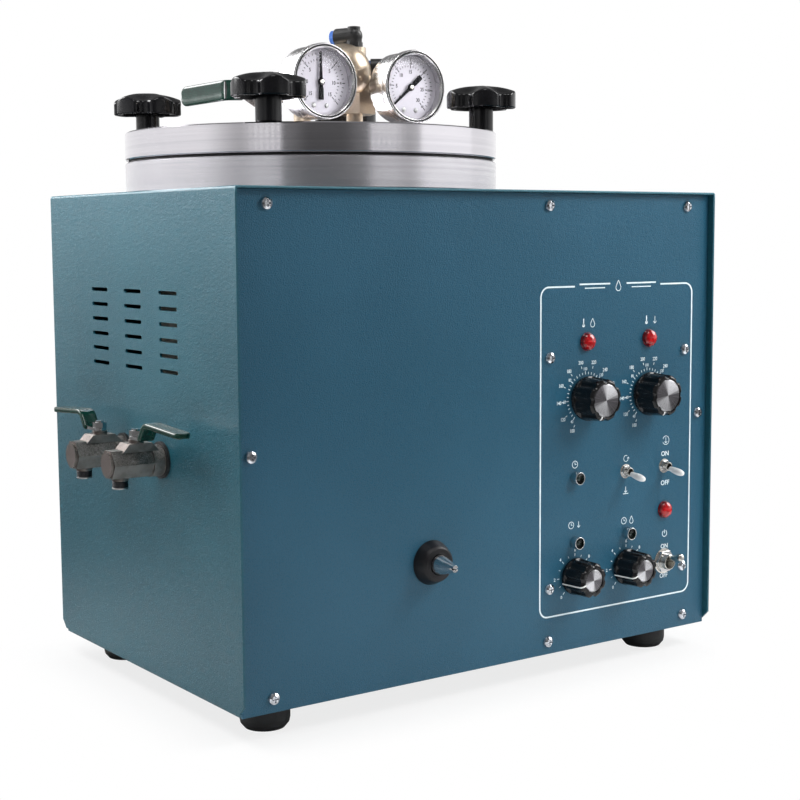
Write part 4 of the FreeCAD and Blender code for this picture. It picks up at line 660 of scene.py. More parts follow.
# a piece from closed parts, with its faces outwards and edges over the angle sharp
def addSolid(name, parts, body, finish, replaces=None, sharp=35.0):
    mesh = joinParts(name, parts)
    editMesh(mesh, lambda shell: bmesh.ops.recalc_face_normals(shell, faces=shell.faces))
    mesh.shade_smooth()
    mesh.set_sharp_from_angle(angle=math.radians(sharp))
    return addPiece(name, mesh, body, finish, replaces)


# corners of a line become quadratic curves that start a radius away from the corner
def softLine(points, radius, steps=5, closed=False):
    points = np.asarray(points, float)
    if closed:
        points = np.vstack([points[-1:], points, points[:1]])
    t = np.linspace(0, 1, steps)[:, None]
    out = [] if closed else [points[:1]]
    for before, corner, after in zip(points[:-2], points[1:-1], points[2:]):
        a, b = before - corner, after - corner
        lengthA, lengthB = np.linalg.norm(a), np.linalg.norm(b)
        cut = min(radius, 0.45 * lengthA, 0.45 * lengthB)
        start, end = corner + a / lengthA * cut, corner + b / lengthB * cut
        out.append((1 - t) ** 2 * start + 2 * t * (1 - t) * corner + t * t * end)
    if not closed:
        out.append(points[-1:])
    return np.concatenate(out)


def crossAxes(axis):
    axis = np.asarray(axis, float) / np.linalg.norm(axis)
    helper = np.array([0, 0, 1.0]) if abs(axis[2]) < 0.9 else np.array([1.0, 0, 0])
    side = np.cross(helper, axis)
    side /= np.linalg.norm(side)
    return axis, side, np.cross(axis, side)


# a profile of (radius, height) carried round an axis; swell multiplies the radius, by row and column
def lathe(profile, base, axis, sides=72, closed=False, swell=1.0):
    profile = np.asarray(profile, float)
    axis, side, top = crossAxes(axis)
    turn = np.linspace(0, 2 * math.pi, sides, endpoint=False)
    around = np.cos(turn)[:, None] * side + np.sin(turn)[:, None] * top
    radius = profile[:, :1] * swell * np.ones((1, sides))
    grid = np.asarray(base, float) + radius[..., None] * around[None] + profile[:, 1, None, None] * axis
    return skin(grid, closed)


# the same from a row: the profile's corners, their rounding and its steps, the sides, and whether it closes
def turnedPart(row, base, axis):
    line, radius, steps, sides, closed = row
    return lathe(softLine(line, radius, steps, closed), base, axis, sides, closed)


# a section of (across, above) points carried along a path that lies in one plane
def carry(path, sections, across):
    ahead = np.gradient(path, axis=0)
    ahead /= np.linalg.norm(ahead, axis=1)[:, None]
    above = np.cross(ahead, across)
    return skin(path[:, None] + sections[..., :1] * across + sections[..., 1:] * above[:, None])


# the words of a node's name run together
def joined(nodeName, count=3):
    return "".join(word.capitalize() for word in nodeName.split("_")[:count])


softShape = {"angle": math.radians(30.0), "segments": 2, "merge": 2e-6, "flat": math.radians(0.5)}
softValues = {
    # node: new name, edge width in mm, body, slot, finish
    "cabinet_cover": ("coverShell", 0.35, "cabinet", "case_paint", "paint"),
    "front_panel": ("frontPlate", 0.3, "cabinet", "case_paint", "panelPaint"),
    "gauge_manifold": ("manifoldBar", 0.45, "lid", "brass", "brass"),
    "drain_valve_bodies": ("drainBodies", 0.7, "cabinet", "valve_metal", "cast"),
    "exhaust_valve_body": ("exhaustBody", 0.7, "lid", "valve_metal", "cast"),
    "air_elbows": ("elbowBodies", 0.5, "lid", "black_plastic", "blackSatin"),
    "elbow_collets": ("colletRings", 0.4, "lid", "blue_plastic", "blue"),
    "bush_nuts": ("panelNuts", 0.25, "cabinet", "bright_nickel", "chrome"),
    "nozzle_collar": ("nozzleGuard", 0.4, "cabinet", "black_plastic", "collar"),
    "nozzle_tip": ("nozzleCone", 0.15, "nozzle_tip", "bright_nickel", "chrome"),
}


# a node's merged copy with its sharp edges rounded by a small bevel
def softCopy(nodeName, name, width, body, slot, finish):
    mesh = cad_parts[nodeName].data.copy()
    mesh.name = name
    if "custom_normal" in mesh.attributes:
        mesh.attributes.remove(mesh.attributes["custom_normal"])

    def merge(shell):
        bmesh.ops.remove_doubles(shell, verts=shell.verts, dist=softShape["merge"])
        bmesh.ops.dissolve_limit(shell, angle_limit=softShape["flat"], verts=shell.verts, edges=shell.edges)

    editMesh(mesh, merge)
    mesh.materials.clear()
    mesh.shade_smooth()
    mesh.set_sharp_from_angle(angle=softShape["angle"])
    bevel = addPiece(name, mesh, body, finish, nodeName).modifiers.new("softEdges", "BEVEL")
    bevel.limit_method = "ANGLE"
    bevel.angle_limit = softShape["angle"]
    bevel.width = width * 0.001
    bevel.segments = softShape["segments"]
    bevel.harden_normals = True


for nodeName, row in softValues.items():
    softCopy(nodeName, *row)
print("bodies with rounded edges:", len(softValues))

# ---- star knobs

starValues = {"radius": 24.0, "height": 15.4, "rim": 11.4, "dip": 4.3, "lobes": 5, "valley": 4.8,
              "valleyOut": 24.2, "corner": 3.0, "edge": 0.9, "hub": 8.4, "hubLength": 15.6, "wall": 2.2,
              "hollow": 6.5, "bore": 5.05, "gap": 0.2, "circle": 121.0, "turns": (10.0, 56.5, 35.4, 23.6),
              "dipFrom": 6.0, "dipOver": 13.0,
              "shrink": (0.97, 0.93, 0.88, 0.82, 0.75, 0.67, 0.58, 0.48, 0.37, 0.25, 0.1)}


# half a lobe as three arcs that touch: the valley's, the corner's and the lobe's; mirrored and repeated round
def starOutline(values, turn):
    out, valley, corner, reach = (values[k] for k in ("radius", "valley", "corner", "valleyOut"))
    step = math.pi / values["lobes"]
    inner = out - corner
    bend = math.acos((inner ** 2 + reach ** 2 - (valley + corner) ** 2) / (2 * inner * reach))
    middle = inner * np.array([math.cos(bend), math.sin(bend)])
    contact = math.atan2(-middle[1], reach - middle[0])
    start = math.pi - math.atan2(middle[1], reach - middle[0])
    spots, outward = [], []
    for turns, centre, radius, sign in ((np.linspace(math.pi, start, 9), (reach, 0.0), valley, -1),
                                        (np.linspace(contact, bend, 7)[1:], middle, corner, 1),
                                        (np.linspace(bend, step, 9)[1:], (0.0, 0.0), out, 1)):
        ray = np.stack([np.cos(turns), np.sin(turns)], -1)
        spots.append(centre + radius * ray)
        outward.append(sign * ray)
    a = math.radians(turn) + step * (1 + 2 * np.arange(values["lobes"]))
    spin = np.stack([np.cos(a), -np.sin(a), np.sin(a), np.cos(a)], -1).reshape(-1, 2, 2)
    rings = []
    for half in (np.concatenate(spots), np.concatenate(outward)):
        lobe = np.concatenate([half[-2:0:-1] * (1, -1), half])
        rings.append(np.einsum("kij,nj->kni", spin, lobe).reshape(-1, 2))
    return rings


# rows from the bore's end out over the underside, up the wall and over the crown, which falls towards the rim
# and, by a cosine round the knob, between the lobes
def starKnob(values, centre, turn):
    spots, outward = starOutline(values, turn)
    ray = spots / np.linalg.norm(spots, axis=1)[:, None]
    high, edge, hub, wall = (values[k] for k in ("height", "edge", "hub", "wall"))
    hollow, bore, low = values["hollow"], values["bore"], -values["hubLength"]

    def crown(flat):
        reach = np.linalg.norm(flat, axis=1)
        angle = np.arctan2(flat[:, 1], flat[:, 0]) - math.radians(turn)
        valley = 0.5 - 0.5 * np.cos(values["lobes"] * angle)
        outer = np.clip((reach - values["dipFrom"]) / values["dipOver"], 0, 1)
        outer = outer * outer * (3 - 2 * outer)
        fall = (high - values["rim"]) * (reach / values["radius"]) ** 2.4
        return high - fall - values["dip"] * outer * valley

    rows = [(ray * radius, z) for radius, z in (
        (bore, 4.0), (bore, low + 0.5), (bore + 0.5, low), (hub - 0.6, low), (hub, low + 0.6),
        (hub, hollow - 1.0), (hub + 1.0, hollow))]
    rows += [(spots - outward * depth, z) for depth, z in (
        (wall + 0.6, hollow), (wall, hollow - 0.8), (wall - 0.3, 0.5), (wall - 0.8, 0.0), (0.6, 0.0),
        (0.0, 0.7))]
    for share in np.linspace(0, math.pi / 2, 7):
        flat = spots - outward * (edge * (1 - math.cos(share)))
        rows.append((flat, crown(flat) - edge * (1 - math.sin(share))))
    for scale in values["shrink"]:
        flat = (spots - outward * edge) * scale
        rows.append((flat, crown(flat)))
    grid = np.stack([np.column_stack([flat, np.full(len(flat), z)]) for flat, z in rows])
    return skin(grid + np.array(centre))


def addStarKnobs(values):
    for i, turn in enumerate(values["turns"]):
        a, circle = math.radians(45 + 90 * i), values["circle"]
        base = (tankCentre[0] + circle * math.cos(a), tankCentre[1] + circle * math.sin(a),
                lidTop + values["gap"] + values["hubLength"])
        body, knob = f"star_knob_{i + 1}", starKnob(values, base, turn)
        addSolid(f"starKnob{i + 1}", [knob], body, "blackGloss", body, 40.0)


addStarKnobs(starValues)
print("star knobs made")

# ---- control knobs

knobValues = {
    # node: x, height over the cover's edge, kind, where the white line points
    "wax_temperature_knob": (283.3, 176.9, "temperature", -112.0),
    "valve_temperature_knob": (343.3, 176.4, "temperature", -108.0),
    "vacuum_time_knob": (272.8, 50.6, "timer", -163.0),
    "injection_time_knob": (322.5, 51.0, "timer", -160.0),
}
knobKinds = {"temperature": (15.9, 11.6, 1.05), "timer": (13.3, 7.9, 0.9)}   # radius, cap's radius and the turn of the cap's painted bow-tie reflection
knobShape = {"gap": 1.2, "face": 21.0, "taper": 0.93, "flutes": 8, "fluteRadius": 3.2, "fluteOut": 1.7,
             "fluteBlend": 0.35, "skirt": 2.4, "capRecess": 0.7, "lineWidth": 0.9, "sides": 256}


# flutes are shallow circular valleys cut into a slightly tapered body, deepest behind the skirt
def knobBody(shape, base, radius, capRadius):
    skirt, sides, blend = (shape[k] for k in ("skirt", "sides", "fluteBlend"))
    length = shape["face"] - shape["gap"]
    rim, seat = radius * shape["taper"], capRadius + 0.15
    outline = softLine([(3.2, 3.0), (3.2, 0.0), (radius - 0.4, 0.0), (radius, 0.6), (radius, skirt),
                        (radius - 0.5, skirt + 0.9), (rim, length - 1.6), (rim - 1.6, length),
                        (seat, length), (seat, length - 2.2), (0.5, length - 2.2)], 0.7, 4)
    turn = np.linspace(0, 2 * math.pi, sides, endpoint=False)
    pitch = 2 * math.pi / shape["flutes"]
    off = (turn + pitch / 2) % pitch - pitch / 2
    out, cut = radius + shape["fluteOut"], shape["fluteRadius"]
    inside = np.maximum(cut ** 2 - (out * np.sin(off)) ** 2, 0.0)
    valley = np.where(inside > 0, out * np.cos(off) - np.sqrt(inside), radius + 5)
    fluted = -blend * np.log(np.exp(-valley / blend) + np.exp(-radius / blend))
    ratio = np.minimum(fluted / radius, 1.0)
    onWall = np.clip((outline[:, 1] - skirt) / 1.2, 0, 1) * (outline[:, 0] > capRadius + 0.6)
    return lathe(outline, base, front, sides, False, 1 - onWall[:, None] * (1 - ratio[None]))


# the white line: out over the face, and on a small knob down its wall
def knobLine(shape, base, radius, capRadius, angle):
    length, rim = shape["face"] - shape["gap"], radius * shape["taper"]
    run = [(capRadius + 0.2, length + 0.05), (rim - 1.4, length + 0.05)]
    if radius > 14:
        run += [(rim - 0.2, length - 1.0)]
    else:
        run += [(rim + 0.04, length - 1.5), (radius + 0.04, shape["skirt"]), (radius + 0.04, 0.7)]
    run = softLine(run, 0.6, 4)
    turn = math.radians(angle)
    ray = np.array([math.cos(turn), 0.0, math.sin(turn)])
    half = shape["lineWidth"] / 2
    section = np.array([(-half, -0.25), (half, -0.25), (half, 0.04), (-half, 0.04)])
    path = base + run[:, :1] * ray + run[:, 1:] * np.array(front)
    return carry(path, np.tile(section, (len(path), 1, 1)), np.cross(ray, front))


def addKnobs(shape):
    length = shape["face"] - shape["gap"]
    for name, (x, height, kind, angle) in knobValues.items():
        radius, capRadius, wedge = knobKinds[kind]
        base = np.array([x, panelFace - shape["gap"], coverBottom + height])
        short = joined(name, 2)
        grip = knobBody(shape, base, radius, capRadius)
        addSolid("knobGrip" + short, [grip], name, "knobBlack", name, 40.0)
        low, high = length - 2.4, length - shape["capRecess"]
        cap = ([(0.4, low), (capRadius, low), (capRadius, high), (capRadius - 0.5, high + 0.35),
                (0.4, high + 0.35)], 0.2, 3, 96, False)
        finishes[short] = capFinish("spunCap" + short, toFrame(base).tolist(), wedge)
        addSolid("knobCap" + short, [turnedPart(cap, base, front)], name, short)
        line = knobLine(shape, base, radius, capRadius, angle)
        addSolid("knobLine" + short, [line], name, "white")


addKnobs(knobShape)
print("control knobs made")

# ---- lamps, bezels and toggles on the panel


def onPanel(place, out=0.0):
    return np.array([place[0], panelFace - out, coverBottom + place[1]])


# an ellipse's quarter: radius and height from the rim nearly to the pole
def domeLine(radius, rise, base, left, count):
    bulge = np.linspace(0, math.pi / 2 - left, count)
    return np.column_stack([radius * np.cos(bulge), base + rise * np.sin(bulge)])


lampValues = {"places": ((283.3, 216.9), (343.3, 216.9), (361.0, 88.8)), "dome": (6.3, 4.3, 1.2, 0.06, 12),
              "foot": [(4.4, 0.02), (6.5, 0.02), (6.5, 1.0), (6.3, 1.2)]}


def addLamps(values):
    profile = np.vstack([softLine(values["foot"], 0.3, 4), domeLine(*values["dome"])[1:]])
    domes = [lathe(profile, onPanel(place), front, 64) for place in values["places"]]
    addSolid("lampDomes", domes, "cabinet", "red", "pilot_lamps")


bezelValues = {"places": ((272.8, 121.0), (272.8, 74.7), (323.3, 75.6)), "lens": (2.5, 2.2, 2.6, 0.1, 8),
               "foot": [(3.9, 2.4), (2.6, 2.5)],
               "tube": ([(3.9, 0.02), (4.5, 0.02), (4.5, 5.8), (4.35, 6.0), (3.95, 6.0), (3.8, 5.6),
                         (3.75, 2.0)], 0.15, 3, 56, True)}


def addBezels(values):
    lens = np.vstack([values["foot"], domeLine(*values["lens"])])
    tubes = [turnedPart(values["tube"], onPanel(place), front) for place in values["places"]]
    lenses = [lathe(lens, onPanel(place), front, 40) for place in values["places"]]
    addSolid("bezelTubes", tubes, "cabinet", "chrome", "led_bezels")
    addSolid("bezelLenses", lenses, "cabinet", "darkLens")


toggleValues = {
    # places by node; bush as radius, start, end and pitch; the first of the parts stands for the node
    "small": {
        "places": {"auto_toggle": (321.5, 121.2), "vacuum_toggle": (360.5, 121.6)}, "tilt": -10.0,
        "bush": (3.0, 1.6, 5.4, 0.6),
        "washer": ([(3.4, -0.02), (5.2, -0.02), (5.2, 0.45), (3.4, 0.45)], 0.15, 3, 48, True),
        "parts": (("Stem", "bright_nickel", "chrome",
                   ([(0.3, 3.0), (1.0, 3.0), (1.1, 6.0), (1.15, 10.5), (0.3, 10.5)], 0.3, 3, 40, False)),
                  ("Sleeve", "white_vinyl", "white",
                   ([(1.0, 8.6), (1.7, 8.4), (1.9, 10.0), (2.55, 15.5), (2.45, 19.0), (1.5, 21.9),
                     (0.3, 22.4)], 1.6, 6, 48, False)))},
    "power": {
        "places": {"power_toggle": (361.0, 50.0)}, "tilt": 15.0, "bush": (5.5, 2.6, 7.1, 0.75),
        "washer": ([(5.9, -0.02), (9.4, -0.02), (9.4, 0.6), (5.9, 0.6)], 0.2, 3, 72, True),
        "parts": (("Bat", "bright_nickel", "nickel",
                   ([(0.4, 2.0), (2.2, 2.0), (2.15, 9.0), (2.7, 17.0), (3.0, 20.0), (2.5, 21.9),
                     (0.4, 22.3)], 1.4, 5, 48, False)),)},
}


# a screw thread's outline: the radius rises and falls in even ramps along its length
def threadLine(radius, depth, start, end, pitch):
    heights = np.linspace(start, end, int((end - start) / pitch * 6) + 1)
    return np.column_stack([radius + depth * np.abs((heights / pitch) % 1.0 * 2 - 1), heights])


def threadedBush(place, radius, start, end, pitch):
    profile = np.vstack([[(radius - 0.7, start)], threadLine(radius, 0.16, start, end, pitch),
                         [(radius - 0.3, end + 0.15), (radius - 0.7, end + 0.1)]])
    return lathe(profile, onPanel(place), front, 48, True)


def addToggles(kinds):
    bushes = []
    for kind in kinds:
        for place in kind["places"].values():
            bushes.append(threadedBush(place, *kind["bush"]))
            bushes.append(turnedPart(kind["washer"], onPanel(place), front))
    addSolid("bushThreads", bushes, "cabinet", "nickel", sharp=25.0)
    for kind in kinds:
        tilt = math.radians(kind["tilt"])
        axis = np.array([0.0, -math.cos(tilt), math.sin(tilt)])
        for body, place in kind["places"].items():
            stands = body
            for part, slot, finish, row in kind["parts"]:
                solid = turnedPart(row, onPanel(place, -2.0), axis)
                addSolid(body.split("_")[0] + part, [solid], body, finish, stands)
                stands = None


addLamps(lampValues)
addBezels(bezelValues)
addToggles(list(toggleValues.values()))
print("panel fittings made")

# ---- valve grips and spouts

gripValues = {
    # node: ball's place, along the handle, up the stem, lever,
    # crank's start and end, reach, half width, fall in degrees
    "drain_grip_front": ((-18.0, 103.0, 167.5), (0, -1, 0), (0, 0, 1), "drain_lever_front",
                         (14.0, 21.0), 68.5, 5.6, 3.2),
    "drain_grip_rear": ((-18.0, 159.0, 167.5), (0, 1, 0), (0, 0, 1), "drain_lever_rear",
                        (14.0, 21.0), 68.5, 5.6, 3.2),
    "exhaust_grip": ((127.5, 176.0, 417.5), (0, 1, 0), (-1, 0, 0), "exhaust_lever",
                     (9.0, 15.0), 82.0, 7.3, 0.0),
}
gripShape = {"lead": 1.5, "thick": 2.3, "dip": 0.30, "low": 16.4, "high": 26.4, "bend": 4.5, "square": 0.55}


# how far a rounded end has opened, from its own length and the distance to the tip; never less than least
def roundEnd(fromEnd, length, least):
    return np.sqrt(np.clip(1 - (1 - np.minimum(fromEnd / length, 1)) ** 2, least, 1))


# a rounded oblong section, thinner in its middle, carried up the crank and out along the handle; it narrows
# to a half circle at the end
def gripSkin(shape, ball, ahead, stem, crank, reach, wide, droop):
    ahead, stem, ball = (np.asarray(v, float) for v in (ahead, stem, ball))
    low, high = shape["low"], shape["high"]
    line = softLine([(crank[0] - shape["lead"], low), (crank[0], low + 0.4), (crank[1], high),
                     (reach, high - math.tan(math.radians(droop)) * (reach - crank[1]))], shape["bend"], 9)
    steps = np.r_[0, np.cumsum(np.linalg.norm(np.diff(line, axis=0), axis=1))]
    want = steps[-1] * (1 - (1 - np.linspace(0, 1, 72)) ** 1.6)
    fromEnd = steps[-1] - want
    lip = np.clip(want / 0.9, 0, 1)
    half = wide * roundEnd(fromEnd, wide, 0.004) * (0.93 + 0.07 * lip)
    thick = shape["thick"] * roundEnd(fromEnd, 2.0, 0.01) * (0.7 + 0.3 * lip)
    turn = np.linspace(0, 2 * math.pi, 48, endpoint=False)
    across, above = (np.sign(v) * np.abs(v) ** shape["square"] for v in (np.cos(turn), np.sin(turn)))
    above = above * (1 - shape["dip"] * (1 - across ** 2) ** 1.4)
    sections = np.stack([half[:, None] * across, thick[:, None] * above], -1)
    out, rise = (np.interp(want, steps, line[:, k])[:, None] for k in (0, 1))
    return carry(ball + out * ahead + rise * stem, sections, np.cross(stem, ahead))


def addGrips():
    for name, (ball, ahead, stem, body, *sizes) in gripValues.items():
        grip = gripSkin(gripShape, ball, ahead, stem, *sizes)
        addSolid("vinyl" + joined(name), [grip], body, "green", name, 60.0)


# radii and heights below the ball's middle, on the spout's axis, which stands this far out
spoutValues = {"out": 12.0, "inner": 4.8, "ends": (11.0, 15.0), "thread": (5.05, 0.18, 11.2, 14.9, 0.9),
               "lip": ([(4.6, 15.0), (5.3, 15.0), (5.3, 16.1), (4.6, 16.1)], 0.25, 3, 48, True)}


# a dark threaded band and a pale lip round each spout
def addSpoutBands(values):
    bands, lips = [], []
    start, end = ((values["inner"], height) for height in values["ends"])
    profile = np.vstack([start, threadLine(*values["thread"]), end])
    for name in ("drain_grip_front", "drain_grip_rear"):
        base = np.array(gripValues[name][0]) - (values["out"], 0.0, 0.0)
        bands.append(lathe(profile, base, (0, 0, -1), 48, True))
        lips.append(turnedPart(values["lip"], base, (0, 0, -1)))
    addSolid("spoutThreads", bands, "cabinet", "blackSteel", sharp=50.0)
    addSolid("spoutLips", lips, "cabinet", "zinc")


sealValues = {"low": 363.25, "high": 365.05, "inner": 126.4, "outer": 128.6, "bulge": 0.35}


# the seal between flange and lid, carried out to a dark bulged rim outside the studs, where it also stands in
# for the shade in the gap
def addSealLip(values):
    low, high, inner, outer = (values[k] for k in ("low", "high", "inner", "outer"))
    flank = outer - values["bulge"]
    rim = [(inner, low), (flank, low), (outer, (low + high) / 2), (flank, high), (inner, high)]
    lip = turnedPart((rim, 0.4, 4, 144, True), tankCentre, (0, 0, 1))
    addSolid("sealAndGapShade", [lip], "lid", "rubber")


addGrips()
addSpoutBands(spoutValues)
addSealLip(sealValues)
print("grips and seal lip made")

# ---- printed marks: flat shapes in (across, up) millimetres, each a pair of points and faces


def stroke(points, width, loop=False):
    points = np.asarray(points, float)
    if loop:
        ahead = np.roll(points, -1, 0) - np.roll(points, 1, 0)
    else:
        ahead = np.gradient(points, axis=0)
    ahead /= np.linalg.norm(ahead, axis=1)[:, None]
    side = np.column_stack([-ahead[:, 1], ahead[:, 0]]) * width / 2
    count = len(points)
    index = np.arange(count if loop else count - 1)
    after = (index + 1) % count
    faces = np.stack([index, after, after + count, index + count], -1)
    return np.concatenate([points - side, points + side]), [faces]


def bar(start, end, width):
    start, end = np.array(start), np.array(end)
    return stroke([start, (start + end) / 2, end], width)


# the direction of an angle in degrees
def flatRay(angle):
    return np.array([math.cos(math.radians(angle)), math.sin(math.radians(angle))])


def arcLine(centre, radius, start, end, count=40):
    a = np.radians(np.linspace(start, end, count))
    return np.column_stack([centre[0] + radius * np.cos(a), centre[1] + radius * np.sin(a)])


# a word or number as flat faces, centred on a point
def lettering(text, centre, height, spread=1.0, weight=0.02):
    curve = bpy.data.curves.new("lettering", "FONT")
    curve.body = text
    curve.size = height / 0.7
    curve.align_x = "CENTER"
    curve.resolution_u = 3
    curve.offset = height * weight
    holder = bpy.data.objects.new("lettering", curve)
    mesh = bpy.data.meshes.new_from_object(holder)
    points = np.zeros(len(mesh.vertices) * 3)
    mesh.vertices.foreach_get("co", points)
    points = points.reshape(-1, 3)[:, :2] * np.array([spread, 1.0])
    rings = [list(p.vertices) for p in mesh.polygons]
    faces = [np.array([r for r in rings if len(r) == n]) for n in sorted({len(r) for r in rings})]
    bpy.data.objects.remove(holder)
    bpy.data.meshes.remove(mesh)
    bpy.data.curves.remove(curve)
    return points + np.array(centre) - np.array([0.0, height / 2]), faces


# ticks and numbers round a centre; every so many ticks one is long; a tick is (inner, outer, width)
def scaleMarks(centre, first, last, rings, numbers):
    shapes = []
    for count, every, long, short in rings:
        for i, angle in enumerate(np.linspace(first, last, count)):
            inner, outer, width = short if i % every else long
            shapes.append(bar(centre + flatRay(angle) * inner, centre + flatRay(angle) * outer, width))
    for figures, radius, *style in numbers:
        for figure, angle in zip(figures, np.linspace(first, last, len(figures))):
            shapes.append(lettering(str(figure), centre + radius * flatRay(angle), *style))
    return shapes


# flat points stood up on a plane that faces the front
def standUp(points, y, across=0.0, up=0.0):
    return np.column_stack([points[:, 0] + across, np.full(len(points), y), points[:, 1] + up])


def turnForward(shell):
    bmesh.ops.reverse_faces(shell, faces=[f for f in shell.faces if f.normal.y > 0])


inkThickness = 0.00004


# a skin of ink on such a plane, with its faces to the front
def addInk(name, shapes, y, body, finish, across=0.0, up=0.0):
    mesh = joinParts(name, [(standUp(points, y, across, up), faces) for points, faces in shapes])
    editMesh(mesh, turnForward)
    coat = addPiece(name, mesh, body, finish).modifiers.new("inkThickness", "SOLIDIFY")
    coat.thickness = inkThickness
    coat.offset = 1.0


# ---- gauges

gaugeValues = {
    "places": (127.5, 203.2), "front": 98.0, "radius": 25.8, "depth": 25.0, "dial": 8.2,
    "stem": 14.0, "bar": 135.0, "plate": 1.4,
    # the case's section: in from the radius and behind the front, then in from the radius and before the back
    "bezel": ((2.5, 1.15), (3.7, 1.5), (3.0, 0.4), (2.65, 0.05), (2.25, 0.05), (2.2, 0.6), (1.2, 0.6),
              (1.15, 0.0), (0.5, 0.0), (0.0, 0.8), (0.0, 5.3), (0.7, 6.0), (1.4, 6.0), (1.4, 6.8),
              (0.9, 6.8)),
    "back": ((0.9, 3.2), (1.9, 1.0), (4.1, 0.0), (21.8, 0.0), (21.8, 1.3), (2.5, 1.3)),
    "gasket": ((2.2, 0.12), (1.15, 0.12), (1.15, 0.7), (2.2, 0.7)),
    # pointers: body, name, angle; the blade's half widths along it
    "pointers": (("vacuum_pointer", "Left", 90.0), ("pressure_pointer", "Right", 221.0)),
    "blade": ((20.5, 0.4), (2.4, 1.15), (-2.0, 1.0), (-4.5, 1.8), (-12.0, 1.8)), "bladeThick": 0.6,
    "hub": ([(0.3, 0.1), (2.6, 0.1), (2.6, 1.0), (2.2, 1.5), (0.3, 1.5)], 0.3, 4, 40, False),
    "hubCap": ([(0.3, 1.5), (1.7, 1.5), (1.7, 1.9), (1.3, 2.2), (0.3, 2.2)], 0.25, 4, 40, False),
    # dials: first and last angle, outer and inner numbers; both have the same ticks
    "dials": ((225, -45, (30, 20, 10, 0, 4, 8, 12), (15, 10, 5, 0, 5, 10, 15)),
              (221, -49, (0, 10, 20, 30, 40, 50, 60), (0, 5, 10, 15, 20, 25, 30))),
    "ticks": ((31, 5, (13.6, 15.8, 0.6), (14.4, 15.8, 0.45)), (31, 5, (18.4, 20.6, 0.6), (18.4, 19.8, 0.45))),
    "outer": (17.1, 1.7, 0.9, 0.035), "inner": (11.2, 2.5, 0.9, 0.035),
    "screws": ((-5.2, -15.8), (5.2, -15.8)),
    "screw": ([(0.3, 0.0), (1.7, 0.0), (1.7, 0.35), (1.0, 0.75), (0.3, 0.75)], 0.2, 4, 24, False),
}


def addGaugeCases(v):
    r, d, y, back = v["radius"], v["depth"], v["front"], (0, 1, 0)
    line = [(r - inward, depth) for inward, depth in v["bezel"]]
    line += [(r - inward, d - depth) for inward, depth in v["back"]]
    ring = [(r - inward, depth) for inward, depth in v["gasket"]]
    shells, gaskets = [], []
    for x in v["places"]:
        base = (x, y, gaugeHeight)
        hexagon = arcLine((x, gaugeHeight), v["stem"] / math.sqrt(3), 30, 330, 6)
        shells.append(turnedPart((line, 0.3, 4, 128, True), base, back))
        shells.append(skin(np.stack([standUp(hexagon, y + d - 0.5), standUp(hexagon, v["bar"] - 0.02)])))
        gaskets.append(turnedPart((ring, 0.1, 3, 128, True), base, back))
    addSolid("gaugeShells", shells, "lid", "gaugeSteel", "gauge_cases")
    addSolid("lensGaskets", gaskets, "lid", "rubber")


def addPointers(v):
    plate = v["front"] + v["dial"] - v["plate"]
    half = np.array(v["blade"])
    blade = np.vstack([half, half[::-1] * (1, -1)])
    for x, (body, short, angle) in zip(v["places"], v["pointers"]):
        flat = blade[:, :1] * flatRay(angle) + blade[:, 1:] * flatRay(angle + 90)
        rows = [standUp(flat, y, x, gaugeHeight) for y in (plate, plate - v["bladeThick"])]
        hub, cap = (turnedPart(v[k], (x, plate, gaugeHeight), front) for k in ("hub", "hubCap"))
        addSolid("pointer" + short, [skin(np.stack(rows)), hub], body, "ink", body)
        addSolid("hubCap" + short, [cap], body, "nickel")


def addDialPrint(v):
    y, heads = v["front"] + v["dial"], []
    for x, (first, last, outer, inner), (_, short, _) in zip(v["places"], v["dials"], v["pointers"]):
        numbers = ((inner, *v["inner"]), (outer, *v["outer"]))
        shapes = scaleMarks(np.zeros(2), first, last, v["ticks"], numbers)
        addInk("dialPrint" + short, shapes, y - 0.01, "lid", "ink", x, gaugeHeight)
        heads += [turnedPart(v["screw"], (x + side, y, gaugeHeight + up), front) for side, up in v["screws"]]
    addSolid("dialScrews", heads, "lid", "zinc")


addGaugeCases(gaugeValues)
addPointers(gaugeValues)
addDialPrint(gaugeValues)
print("gauges made")

# ---- print on the front panel

frameValues = {"left": 240.6, "right": 387.2, "low": 24.0, "high": 255.8, "round": 7.0, "width": 1.15,
               "gap": (271.5, 354.6)}
panelScales = {
    # for each kind of knob its scales: first and last angle, ticks, numbers with radius, height and spread
    "temperature": ((229.0, -41.0, ((31, 5, (16.9, 19.2, 0.55), (16.9, 18.6, 0.55)),),
                     ((range(40, 161, 20), 20.9, 2.1, 0.85),)),
                    (239.0, -34.0, ((11, 1, (21.4, 23.2, 0.5), None),),
                     ((range(100, 301, 20), 26.0, 2.5, 0.85),))),
    "timer": ((229.0, -51.8, ((13, 2, (14.2, 16.2, 0.5), (14.2, 15.7, 0.4)),),
               ((range(0, 13, 2), 18.6, 2.2),)),),
}


def frameShapes(v):
    r, left, right, low, high = (v[k] for k in ("round", "left", "right", "low", "high"))
    turns = (((right - r, high - r), 90, 0), ((right - r, low + r), 0, -90), ((left + r, low + r), -90, -180),
             ((left + r, high - r), 180, 90))
    line = [np.array([(v["gap"][1], high)])]
    line += [arcLine(centre, r, start, end, 14) for centre, start, end in turns]
    line.append(np.array([(v["gap"][0], high)]))
    return [stroke(np.concatenate(line), v["width"])]


def dialShapes():
    shapes = []
    for x, height, kind, _ in knobValues.values():
        for scale in panelScales[kind]:
            shapes += scaleMarks(np.array([x, height]), *scale)
    return shapes


# an icon is drawn in shares of its height or radius, with strokes of a fixed width
def word(centre, height, text):
    return [lettering(text, centre, height)]


